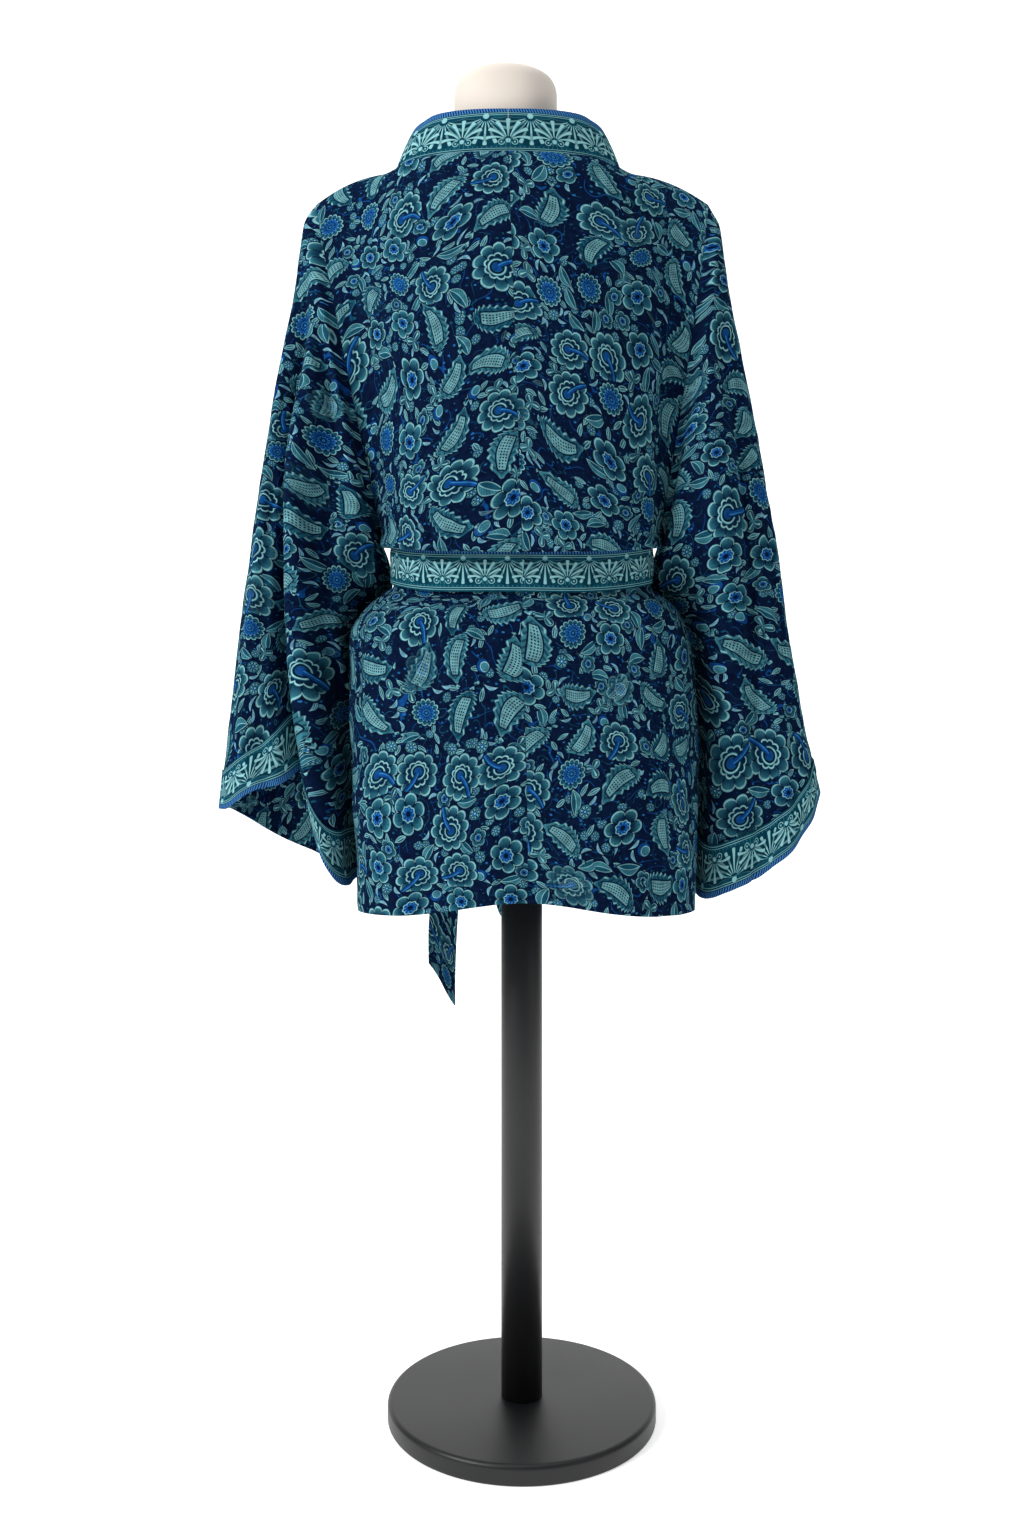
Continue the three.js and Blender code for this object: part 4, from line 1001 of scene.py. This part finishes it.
def print_colour(graph):
    """The all-over print of flowers, saw-edged leaves, rosettes and sprigs on navy."""
    u, v, _ = graph.split(graph.uv())
    x, y = u * 1000.0, v * 1000.0
    sway = graph.noise(graph.join(x, y), 0.008, 0.0)
    swing = graph.noise(graph.join(x + 900.0, y), 0.009, 0.0)
    x, y = x + (sway - 0.5) * 34.0, y + (swing - 0.5) * 34.0
    place = graph.join(x, y)
    mottled = graph.noise(place, 0.16, 2.0)
    colour = graph.blend(mottled.over(0.5, 0.5) * 0.5, NAVY, linear(16, 33, 68))

    # Stems: thin curling lines along the contours of two soft fields.
    stem = graph.noise(place, 0.02, 1.0, 0.4)
    line = abs((stem * 7.0).fract() - 0.5).below(0.03, 0.014)
    colour = graph.blend(line * graph.noise(place, 0.05, 0.0).over(0.47, 0.04), colour, BLUE)
    twig = graph.noise(graph.join(x + 400.0, y - 150.0), 0.03, 1.0, 0.4)
    line = abs((twig * 6.0).fract() - 0.5).below(0.026, 0.012)
    colour = graph.blend(line * graph.noise(place, 0.06, 0.0).over(0.5, 0.04) * 0.9, colour, TEAL)

    # Dots and specks.
    dx, dy, rnd = graph.cells(x, y, 6.5, 3, 1.0)
    r, _ = polar(dx, dy * 1.5)
    dot = r.below(rnd[0] * 1.4 + 0.2, 0.4) * rnd[1].over(0.3, 0.02)
    speck = graph.blend(rnd[2].over(0.45, 0.02), TEAL, graph.blend(0.5, BLUE, BRIGHT))
    colour = graph.blend(dot, colour, speck)

    # Small leaves, petals and rosettes, kept clear of the larger motifs.
    dx, dy, rnd = graph.cells(x, y, 11.0, 5, 0.8)
    far = graph.clear_of(x - dx, y - dy, LARGE_CELLS, large_reach, 1.0)
    far = far * graph.clear_of(x - dx, y - dy, MIDDLE_CELLS, lambda kinds: 6.0, 0.2)
    tx, ty = turned(dx, dy, rnd[0] * TAU)
    motif = pick(
        graph,
        rnd[1],
        leaf(graph, tx, ty, 6.6, 2.5, TEAL, SEA),
        (0.45, leaf(graph, tx + ty * ty * 0.06, ty, 6.4, 1.6, BLUE, BRIGHT)),
        (0.72, dotted_rosette(graph, tx, ty, 4.4)),
    )
    colour = lay(graph, colour, motif, far * rnd[2].over(0.08, 0.02))

    # Middle leaves, trefoils, flowers, rosettes and buds, kept clear of the large motifs.
    dx, dy, rnd = graph.cells(x, y, **MIDDLE_CELLS)
    far = graph.clear_of(x - dx, y - dy, LARGE_CELLS, large_reach, 3.2)
    tx, ty = turned(dx, dy, rnd[0] * TAU)
    motif = pick(
        graph,
        rnd[1],
        leaf(graph, tx + ty * ty * 0.02, ty, 12.0, 5.2, TEAL, SEA),
        (0.42, trefoil(graph, tx, ty, 9.6, rnd[2])),
        (0.6, open_flower(graph, tx, ty, 9.0, 5, rnd[2])),
        (0.78, dotted_rosette(graph, tx, ty, 6.0)),
        (0.9, bud(graph, tx, ty, 6.0)),
    )
    colour = lay(graph, colour, motif, far)

    # Large flowers, saw-edged leaves and rosettes.
    dx, dy, rnd = graph.cells(x, y, **LARGE_CELLS)
    tx, ty = turned(dx, dy, rnd[0] * TAU)
    motif = pick(
        graph,
        rnd[1],
        great_flower(graph, tx, ty, 22.0, rnd[2]),
        (0.26, paisley(graph, tx, ty, 21.0, 11.0, rnd[2])),
        (0.62, open_flower(graph, tx, ty, 17.0, 6, rnd[2])),
        (0.84, rosette(graph, tx, ty, 14.5, 14)),
    )
    return u, v, lay(graph, colour, motif)


def weave(u, v, pitch=0.0006):
    """A fine plain weave as a height, from the flat cloth's own coordinates."""
    warp = (u * (TAU / pitch)).sin()
    weft = (v * (TAU / pitch)).sin()
    return warp * weft * 0.5 + 0.5


def print_material():
    graph = Graph("print_cloth")
    u, v, colour = print_colour(graph)
    slub = graph.noise(graph.join(u * 40.0, v * 900.0), 1.0, 2.0)
    wash = graph.noise(graph.join(u * 1000.0, v * 1000.0), 0.11, 3.0, 0.6)
    colour = graph.blend(wash.over(0.52, 0.4) * 0.42, colour, linear(8, 30, 56))
    shade = graph.blend(slub.over(0.5, 0.5) * 0.16, colour, linear(4, 10, 24))
    bumped = graph.bump(weave(u, v) + slub * 0.6, 0.00012, 0.5)
    rough = graph.noise(graph.join(u, v), 22.0, 2.0) * 0.1 + 0.5
    return graph.surface(shade, rough, bumped, **CLOTH_SHEEN)


def border_material(name, width, period):
    """A border print: fans and arcs between fine lines, and a narrow ticked stripe along the free edge.

    The UV map gives the length along the band, and how far across it from its seam, in metres.
    """
    graph = Graph(name)
    u, v, _ = graph.split(graph.uv())
    x, y = u * 1000.0, v * 1000.0
    ground = graph.noise(graph.join(x, y), 0.09, 2.0)
    colour = graph.blend(ground.over(0.5, 0.6), linear(9, 58, 78), linear(18, 80, 98))
    local = ((x / period).fract() - 0.5) * period
    other = ((x / period + 0.5).fract() - 0.5) * period
    foot, head = 7.5, width - 9.5

    def fan(colour, across, up, size, rays):
        """Thin rays that rise from one point and droop to both sides, under an outline."""
        r, angle = polar(up, across)
        rise = angle / (r * (0.5 / size) + 1.0)
        open_part = abs(rise).below(1.12, 0.05)
        ray = (rise * rays).cos()
        reach = size * ((rise.cos() * 0.24) + 0.76)
        lines = ray.over(0.42, 0.45) * r.over(0.2 * size, 0.8) * r.below(reach + ray * 0.9, 0.5)
        return graph.paint(
            colour,
            (r.below(reach + 1.8, 0.8) * open_part * 0.6, linear(7, 46, 64)),
            (lines * open_part, MINT),
            (r.below(0.1 * size, 0.4), MINT),
        )

    colour = fan(colour, local, (y - head) * -1.0, head - foot - 1.0, 27.0)
    colour = fan(colour, other, y - foot - 5.0, 0.72 * (head - foot), 19.0)
    bead = 4.6
    arc, _ = polar(local, (y - foot) * 0.82)
    scroll, turn = polar(abs(other) - 6.5, y - foot - 3.6)
    eye, _ = polar(other, y - foot - 6.0)
    beads, _ = polar(((x / bead).fract() - 0.5) * bead, y - foot + 1.7)
    ticks = (x / 3.0 + y * 0.12).fract().below(0.5, 0.2)
    slub = graph.noise(graph.join(u * 60.0, v * 900.0), 1.0, 2.0)
    colour = graph.paint(
        colour,
        (arc.near(0.5 * period - 2.0, 0.35, 0.4) * y.over(foot, 1.0), SEA),
        (scroll.near(2.9, 0.36, 0.4) * turn.below(2.2, 0.2), MINT),
        (scroll.below(0.9, 0.4), MINT),
        (eye.below(1.3, 0.4), MINT),
        (beads.below(0.6, 0.3), SEA),
        *((y.near(line, 0.3, 0.35) * 0.85, MINT) for line in (2.0, 4.1, head + 1.2, head + 3.2)),
        (y.over(width - 5.0, 0.4), graph.blend(ticks, linear(14, 30, 92), linear(70, 130, 184))),
        (slub.over(0.5, 0.5) * 0.14, linear(8, 34, 44)),
    )
    bumped = graph.bump(weave(u, v) + slub * 0.6, 0.00012, 0.5)
    return graph.surface(colour, ground * 0.1 + 0.5, bumped, **CLOTH_SHEEN)


def jersey_material():
    graph = Graph("form_jersey")
    place = graph.place()
    x, y, z = graph.split(place)
    cloudy = graph.noise(place, 9.0, 3.0, dimensions="3D")
    colour = graph.blend(cloudy.over(0.5, 0.7), linear(222, 211, 199), linear(230, 220, 209))
    angle = y.math("ARCTAN2", x + 0.017)
    stitch = (angle * 300.0).sin() * (z * (TAU / 0.0012)).sin()
    fuzz = graph.noise(place, 420.0, 3.0, 0.6, dimensions="3D")
    bumped = graph.bump(stitch * 0.4 + fuzz, 0.0002, 0.35)
    sheen = {"Sheen_Weight": 0.35, "Sheen_Roughness": 0.5, "Specular_IOR_Level": 0.25}
    return graph.surface(colour, cloudy * 0.1 + 0.78, bumped, **sheen)


def stand_material():
    graph = Graph("stand_coat")
    place = graph.place()
    cloudy = graph.noise(place, 7.0, 4.0, 0.55, dimensions="3D")
    grain = graph.noise(place, 900.0, 2.0, 0.6, dimensions="3D")
    colour = graph.blend(cloudy.over(0.5, 0.6), linear(9, 10, 12), linear(13, 14, 17))
    colour = graph.blend(grain.over(0.62, 0.2) * 0.3, colour, linear(28, 29, 34))
    bumped = graph.bump(grain, 0.00012, 0.3)
    return graph.surface(colour, cloudy * 0.1 + 0.4, bumped, Specular_IOR_Level=0.5)


PRINT = print_material()
COLLAR_BORDER = border_material("border_collar", COLLAR_WIDTH, 46.0)
CUFF_BORDER = border_material("border_cuff", CUFF_WIDTH, 46.0)
BELT_BORDER = border_material("border_belt", BELT_WIDTH, 44.0)
JERSEY = jersey_material()
STAND = stand_material()

# The cloth.

def spaced(start, *runs):
    """Numbers from a start through the end of each run, in even steps. A run is its end and its steps."""
    spans = []
    for end, steps in runs:
        spans.append(np.linspace(start, end, steps + 1)[:-1])
        start = end
    return np.append(np.concatenate(spans), start)


upper_levels = np.linspace(0, 1, 95)[:-1]
levels = np.concatenate([upper_levels, 1 + spaced(0, (0.2, 33), (0.5, 33), (1, 47))])
rows_above = len(upper_levels)
neck_columns, shoulder_columns = 44, 46
back_u = spaced(0, (NECK["share"], neck_columns), (1, shoulder_columns))
front_share = np.linspace(0, 1, 91)


def shoulder_normal(u):
    """The direction up from the shoulder's line, square to it and along the seam's plane."""
    small = 0.01
    side = np.sign(u)
    end = np.minimum(1, np.maximum(NECK["share"], np.abs(u) - small) + 2 * small) * side
    run = top_point(1, end) - top_point(1, end - small * side)
    normal = points(-run[..., 2], 0, run[..., 0])
    return unit(normal * np.sign(normal[..., 2:3]))


def hem_fold(grid, normals):
    """Makes the last rows stand a little proud, as a turned-up hem does."""
    height = run_up(grid)
    grid += normals * (0.45 * (1 - smooth(11.0, 12.5, height)))[..., None]


def back_panel(side):
    grid = body_point(1, side * back_u[None, :], levels[:, None])
    normals = grid_normals(grid)
    normals[0, neck_columns:] = shoulder_normal(side * back_u[neck_columns:])
    return {"grid": grid, "normals": normals}


def front_panel(side):
    edge = -side * along(FRONT_EDGE, "u", levels, "level")
    u = mix(side, edge[:, None], front_share[None, :])
    level = np.broadcast_to(levels[:, None], u.shape)
    grid = under_body(-1, u, level, underlap(side, u, level))
    normals = grid_normals(grid)
    normals[0] = shoulder_normal(side * mix(1, NECK["share"], front_share))
    return {"grid": grid, "normals": normals}


def neckband(side, front):
    across = np.linspace(0, 1, 15)
    rows = []
    for step in np.linspace(0, 1, neck_columns + 1)[:-1]:
        rows.append(standing(top_point(1, np.array(side * step * NECK["share"])), step, side, across))
    for r, level in enumerate(levels):
        seam = front["grid"][r, -1]
        at = 1 + level / FLAT_FROM_LEVEL
        upright = standing(seam, min(2.0, at), side, across)
        edge = -side * float(along(FRONT_EDGE, "u", level, "level"))
        wide = (COLLAR_WIDTH / 240) * mix(1.18, 0.96, smooth(0.9, 1.3, level))
        u = edge - side * across * wide
        flat = under_body(-1, u, np.full_like(u, level), underlap(side, u, np.full_like(u, level)))
        rows.append(mix(upright, flat, smooth(1.1, 2, at)))
    grid = np.array(rows)
    grid += grid_normals(grid) * (1.4 * np.sin(math.pi * across) ** 0.8)[None, :, None]
    return {"grid": grid, "normals": grid_normals(grid)}


def standing(seam, at, side, across):
    lean = columns(COLLAR_STAND, "inward forward up", at)
    return seam + across[:, None] * np.array([-side * lean["inward"], lean["forward"], lean["up"]])


def cuff_start(rows):
    near = 0.9
    fall = along(rows, "outerZ", near) - along(rows, "outerZ", 1.0)
    run = along(rows, "innerZ", near) - along(rows, "innerZ", 1.0)
    return float(1 - ((1 - near) * CUFF_WIDTH) / ((fall + run) / 2))


SLEEVES = {
    -1: (LEFT_SLEEVE, LEFT_SLEEVE_FOLDS + LEFT_SLEEVE_CREASES),
    1: (RIGHT_SLEEVE, RIGHT_SLEEVE_FOLDS + RIGHT_SLEEVE_CREASES),
}


def ring_arc(grid):
    """Arc length round each row from its first column: above 0 over the back half, below 0 over the front."""
    steps = np.linalg.norm(np.roll(grid, -1, axis=1) - grid, axis=-1)
    half = grid.shape[1] // 2
    front = summed(steps[:, half:][:, ::-1], 1)[:, ::-1]
    return np.concatenate([summed(steps[:, :half], 1), -front], axis=1)


def sleeve(side):
    rows, folds = SLEEVES[side]
    at = spaced(0, (0.1, 17), (cuff_start(rows), 91), (1, CUFF_ROWS))
    degrees = np.arange(SLEEVE_COLUMNS) * 360 / SLEEVE_COLUMNS
    grid, rises = sleeve_point(rows, folds, degrees[None, :], at[:, None])
    unfolded, _ = sleeve_point(rows, [], degrees[None, :], at[:, None])
    arc = mix(ring_arc(grid), ring_arc(unfolded), UNFOLDED)
    half = SLEEVE_COLUMNS // 2
    rises = np.concatenate([rises[:, : half + 1], rises[:, half:], rises[:, :1]], axis=1)
    outer = np.stack([along(rows, "outerX", at), along(rows, "outerZ", at)], axis=-1)
    inner = np.stack([along(rows, "innerX", at), along(rows, "innerZ", at)], axis=-1)
    fall = unit(outer[-1] - outer[0])
    aside = np.array([-fall[1], fall[0]]) * -side
    spread = unit(inner - outer)[:, None, :] * np.abs(arc)[..., None]
    flat = outer[:, None, :] - outer[0] + spread
    wide = (spread @ aside) * np.where(arc < 0, -1, 1)
    wide[:, half + 1 :] = -np.abs(wide[:, half + 1 :])
    uv = np.stack([wide, -(flat @ fall) + rises], axis=-1)

    # The front half's column at the underarm is left out, as the back half's stands for both.
    uv = np.concatenate([uv[:, : half + 1], uv[:, half + 2 :]], axis=1)
    return {"grid": grid, "normals": grid_normals(grid, True), "uv": uv}


parts = {}
for side, key in ((-1, "left"), (1, "right")):
    parts["back_" + key] = back_panel(side)
    parts["front_" + key] = front_panel(side)
    parts["sleeve_" + key] = sleeve(side)
    parts["neckband_" + key] = neckband(side, parts["front_" + key])

share_normals(parts["back_left"]["normals"][:, 0], parts["back_right"]["normals"][:, 0])
share_normals(parts["neckband_left"]["normals"][0], parts["neckband_right"]["normals"][0])
for key in ("left", "right"):
    back, front, band = (parts[name + key]["normals"] for name in ("back_", "front_", "neckband_"))
    share_normals(back[rows_above:, -1], front[rows_above:, 0])
    share_normals(front[:, -1], band[neck_columns:, 0])
    share_normals(back[0, :neck_columns], band[:neck_columns, 0])


def closed(grid):
    return np.concatenate([grid, grid[:, :1]], axis=1)


def flat_map(across, down):
    return np.stack(np.broadcast_arrays(across, down), axis=-1)


def flat_cloth(name, grid, side=1):
    """A piece's flat shape by its own arc lengths, shifted to its own part of the print."""
    return flat_map(side * run_across(grid), run_up(grid)) + np.array(SHIFTS[name])


# Where each piece lies in the print, and the flat cloth that shows.
SHIFTS = {
    "back_left": (0, 0),
    "back_right": (37, 24),
    "front_left": (610, 130),
    "front_right": (940, 410),
    "sleeve_left": (-420, 900),
    "sleeve_right": (380, 1150),
    "belt_tail_left": (130, 700),
    "belt_tail_right": (390, 610),
}

for side, key in ((-1, "left"), (1, "right")):
    for name in ("back_" + key, "front_" + key):
        grid, normals = parts[name]["grid"], parts[name]["normals"]
        uv = flat_cloth(name, grid, side)
        hem_fold(grid, normals)
        inset(grid, "top", "first", "last")
        cloth(name, grid, normals, CLOTH, uv, PRINT)

    name = "neckband_" + key
    grid, normals = parts[name]["grid"], parts[name]["normals"]
    middle = grid[:, grid.shape[1] // 2]
    length = summed(np.linalg.norm(np.diff(middle, axis=0), axis=-1))
    uv = flat_map(side * length[:, None], run_across(grid))
    inset(grid, "top", "first")
    cloth(name, grid, normals, BAND, uv, COLLAR_BORDER)

    name = "sleeve_" + key
    grid, normals = parts[name]["grid"], parts[name]["normals"]
    cuff_normals = normals[-CUFF_ROWS - 1 :]
    cuff_grid = grid[-CUFF_ROWS - 1 :] + cuff_normals * (CUFF_LIFT + CUFF_BAND)
    inset(grid, "top")
    cloth(name, grid, normals, CLOTH, parts[name]["uv"] + np.array(SHIFTS[name]), PRINT, ring=True)

    length = run_across(closed(cuff_grid)).mean(axis=0)
    down = closed((1 - run_up(cuff_grid) / run_up(cuff_grid)[0]) * CUFF_WIDTH)
    uv = flat_map(-side * length, down)
    cloth("cuff_" + key, cuff_grid, cuff_normals, CUFF_BAND, uv, CUFF_BORDER, ring=True)


def belt_section():
    return columns(BODY, "halfWidth back front x", BELT_AT)


def belt_front(x):
    section = belt_section()
    room = BELT_CLEARANCE + BAND
    share = min(1.0, abs(x - section["x"]) / (section["halfWidth"] + room))
    depth = (section["front"] + room) * (1 - share**ROUNDNESS) ** (1 / ROUNDNESS)
    return np.array([x, depth, BELT_HEIGHT + BELT_TILT * math.cos(share * math.pi / 2)])


def belt():
    angle = np.arange(BELT_COLUMNS) / BELT_COLUMNS * TAU
    across = np.linspace(0, 1, 13)[:, None]
    x, y = rounded(belt_section(), angle, ROUNDNESS, BELT_CLEARANCE + BAND)
    around = angle * 130
    centre = BELT_HEIGHT - BELT_TILT * np.cos(angle) + 1.1 * ripple(around, 0 * angle, 51, 190)
    wide = BELT_WIDTH - 1.2 + 0.8 * ripple(around, 0 * angle, 52, 120)
    z = centre + wide * (0.5 - across)
    grid = points(x, y, z)
    crown = 0.9 * np.sin(math.pi * across) ** 0.7 + 0.35 * ripple(x + z * 2, z * 3, 53, 46)
    grid = grid + grid_normals(grid, True) * crown[..., None]
    uv = flat_map(run_across(closed(grid))[len(grid) // 2], (1 - across) * BELT_WIDTH)
    cloth("belt", grid, grid_normals(grid, True), BAND, uv, BELT_BORDER, ring=True)


def knot_swell(share):
    return np.sqrt(1 - (2 * share - 1) ** 2 * 0.84)


def knot_seat():
    seat = belt_front(KNOT["x"])
    seat[2] -= KNOT["lowered"]
    return seat


def knot():
    """The knot: a rounded block with the diagonal turns of the cloth pressed into it."""
    seat = knot_seat()
    rings, sides = 44, 96
    share = np.linspace(0, 1, rings)[:, None]
    angle = np.linspace(0, TAU, sides, endpoint=False)[None, :]
    cap = 1 - smooth(0.9, 1.0, share) * 0.9
    swell = knot_swell(share) * np.where(share > 0.9, cap, 1)
    across = KNOT["width"] * 0.5 * swell * np.sign(np.cos(angle)) * np.abs(np.cos(angle)) ** 0.75
    tall = KNOT["height"] * 0.5 * swell * np.sign(np.sin(angle)) * np.abs(np.sin(angle)) ** 0.75
    y = seat[1] + SEAM + KNOT["depth"] * share + across * 0.22
    grid = points(seat[0] + across, y, seat[2] + tall)
    middle = np.array([seat[0], seat[1] + KNOT["depth"] * 0.4, seat[2]])
    slant = across * 0.8 + tall * 0.62
    groove = bump(slant - 10, 2.2) + bump(slant + 9, 2.2) + 0.5 * bump(across * -0.6 + tall * 0.8 - 8, 2)
    pleats = 0.35 * np.sin(slant * 1.1)
    pressed = smooth(0.1, 0.35, share)
    grid = grid - unit(grid - middle) * ((2.4 * groove + pleats) * pressed)[..., None]
    vertices = grid.reshape(-1, 3) / 1000
    faces = capped_faces(vertices, rings, sides)
    flat = flat_map(across * 0.8 + tall * 0.6, tall * 0.8 - across * 0.6 + 20).reshape(-1, 2)
    uv = np.concatenate([flat[face] for face in faces]) / 1000
    dress(mesh_object("belt_knot_cloth", vertices, faces, uv), BELT_BORDER, "belt_knot")


def tail(spec):
    seat = knot_seat()
    top = seat[2] - KNOT["height"] * 0.5 * knot_swell((spec["topY"] - seat[1]) / KNOT["depth"]) - SEAM
    share = np.linspace(0, 1, 130)[:, None]
    across = np.linspace(-0.5, 0.5, 15)[None, :]
    turn = np.radians(spec["turn"] * smooth(0, 0.5, share))
    centre_x = mix(spec["x"], spec["lowX"], smooth(0, 1, share))
    forward = smooth(-0.1, 0.36, share) - smooth(-0.1, 0.36, 0.0) * (1 - share)
    centre_y = mix(spec["topY"], spec["lowY"], forward)
    z = mix(top, spec["bottom"], share) + spec["slant"] * (0.5 - across) * smooth(0.7, 1, share)
    reach = BELT_WIDTH * across * mix(0.5, 1, smooth(0, 0.4, share))
    bent = 2.2 * np.sin(across * 5.2 + share * 6) * smooth(0.02, 0.3, share)
    bent = bent + 1.6 * np.cos(across * 28) * (1 - smooth(0.0, 0.35, share)) * smooth(0.0, 0.02, share)
    grid = points(
        centre_x + reach * np.cos(turn) - bent * np.sin(turn),
        centre_y + reach * np.sin(turn) + bent * np.cos(turn),
        z,
    )
    name = spec["name"]
    cloth(name, grid, grid_normals(grid), BAND, flat_cloth(name, grid), PRINT)


belt()
knot()
for spec in TAILS:
    tail(spec)

# The form and the stand.


def turned_solid(name, grid, material, node):
    """A closed solid through rings of points."""
    vertices = grid.reshape(-1, 3) / 1000
    dress(mesh_object(name, vertices, capped_faces(vertices, *grid.shape[:2])), material, node)


def form():
    heights = spaced(FORM_BOTTOM, (1240, 109), (FORM[-1]["z"], 89))[:, None]
    angle = np.arange(128) / 128 * TAU
    x, y = rounded(columns(FORM, "halfWidth back front x", heights, "z"), angle, FORM_ROUNDNESS)
    grid = points(x, y, heights)
    rings = list(grid)
    middle = grid[-1].mean(axis=0)
    for share, lift in ((0.8, 0.7), (0.55, 1.2), (0.3, 1.5), (0.1, 1.6)):
        rings.append(middle + (grid[-1] - middle) * share + np.array([0, 0, lift]))
    turned_solid("form_torso", np.array(rings), JERSEY, "form")


def lathe(name, profile, node):
    angle = np.arange(160) / 160 * TAU
    radius, height = (np.array(column, float)[:, None] for column in zip(*profile))
    grid = points(radius * np.cos(angle), radius * np.sin(angle), height)
    turned_solid(name, grid, STAND, node)


def rounded_corner(radius, height, size, steps=9, upward=True):
    """Points of a quarter turn, from the side to the top or from the underside to the side."""
    turns = np.linspace(0, math.pi / 2, steps)
    if upward:
        return [(radius - size + size * math.cos(t), height - size + size * math.sin(t)) for t in turns]
    return [(radius - size + size * math.sin(t), height + size - size * math.cos(t)) for t in turns]


form()
underside = rounded_corner(BASE_RADIUS, 0, 2, 5, upward=False)
upper_side = rounded_corner(BASE_RADIUS, BASE_HEIGHT, 5)
lathe("base_plate", [(60, 0), *underside, *upper_side, (60, BASE_HEIGHT)], "base")
foot = BASE_HEIGHT + SEAM
pole_top = FORM_BOTTOM - SEAM
lathe("pole_tube", [(POLE_RADIUS, z) for z in (foot, mix(foot, pole_top, 0.5), pole_top)], "pole")

# The floor, the light and the camera.


def plain_stage():
    """A pale floor that turns up into a pale wall far behind the stand."""
    turn = np.linspace(0, math.pi / 2, 13)[1:]
    bend = 1.5
    depth = np.concatenate([np.linspace(-4, 4, 9), 4 + bend * np.sin(turn)])
    rise = np.concatenate([np.zeros(9), bend - bend * np.cos(turn)])
    depth, rise = np.append(depth, depth[-1]), np.append(rise, 7.0)
    grid = points(np.linspace(-7, 7, 15), depth[:, None], rise[:, None])
    faces = quad_faces(*grid.shape[:2], closed=False).tolist()
    floor = mesh_object("studio_floor", grid.reshape(-1, 3), faces)
    graph = Graph("studio_white")
    x, y, z = graph.split(graph.place())
    glow = (x * x + y * y + z * z).sqrt().over(0.75, 0.9) * 0.32 + 0.5
    glow = glow * (y.over(-1.1, 1.0) * 0.65 + 0.35)
    settings = {"Specular_IOR_Level": 0.05, "Emission_Color": (1, 1, 1, 1), "Emission_Strength": glow}
    floor.data.materials.append(graph.surface((0.9, 0.9, 0.9, 1), 0.9, **settings))


def area_light(name, place, target, size, power):
    lamp = bpy.data.lights.new(name, "AREA")
    lamp.shape = "RECTANGLE"
    lamp.size, lamp.size_y = size
    lamp.energy = power
    lamp_object = bpy.data.objects.new(name, lamp)
    bpy.context.scene.collection.objects.link(lamp_object)
    lamp_object.location = place
    toward = Vector(target) - Vector(place)
    lamp_object.rotation_euler = toward.to_track_quat("-Z", "Y").to_euler()


def studio_world():
    """A soft light from all around, in front of a pale backdrop."""
    world = bpy.data.worlds.new("studio")
    bpy.context.scene.world = world
    world.use_nodes = True
    tree = world.node_tree
    background = tree.nodes["Background"]
    background.inputs["Color"].default_value = (0.96, 0.98, 1, 1)
    path = tree.nodes.new("ShaderNodeLightPath")
    strength = tree.nodes.new("ShaderNodeMapRange")
    strength.inputs["To Min"].default_value = WORLD_LIGHT
    strength.inputs["To Max"].default_value = WORLD_SEEN
    tree.links.new(path.outputs["Is Camera Ray"], strength.inputs["Value"])
    tree.links.new(strength.outputs["Result"], background.inputs["Strength"])


plain_stage()
studio_world()
area_light("key", (-2.1, -1.5, 2.4), (0, 0, 0.95), (0.9, 0.9), 70)
area_light("fill", (2.4, -1.5, 1.5), (0, 0, 0.9), (1.2, 1.8), 5)
area_light("top", (0.1, 0.1, 3.2), (0, 0, 0), (2.6, 2.6), 42)

camera_data = bpy.data.cameras.new("camera")
camera_data.sensor_width = 36
camera_data.lens = 30.12
camera = bpy.data.objects.new("camera", camera_data)
bpy.context.scene.collection.objects.link(camera)
camera.location = (-0.0102, -1.349, 0.677)
camera.rotation_euler = (math.pi / 2, 0, 0)
bpy.context.scene.camera = camera
bpy.context.scene.view_settings.view_transform = "Standard"
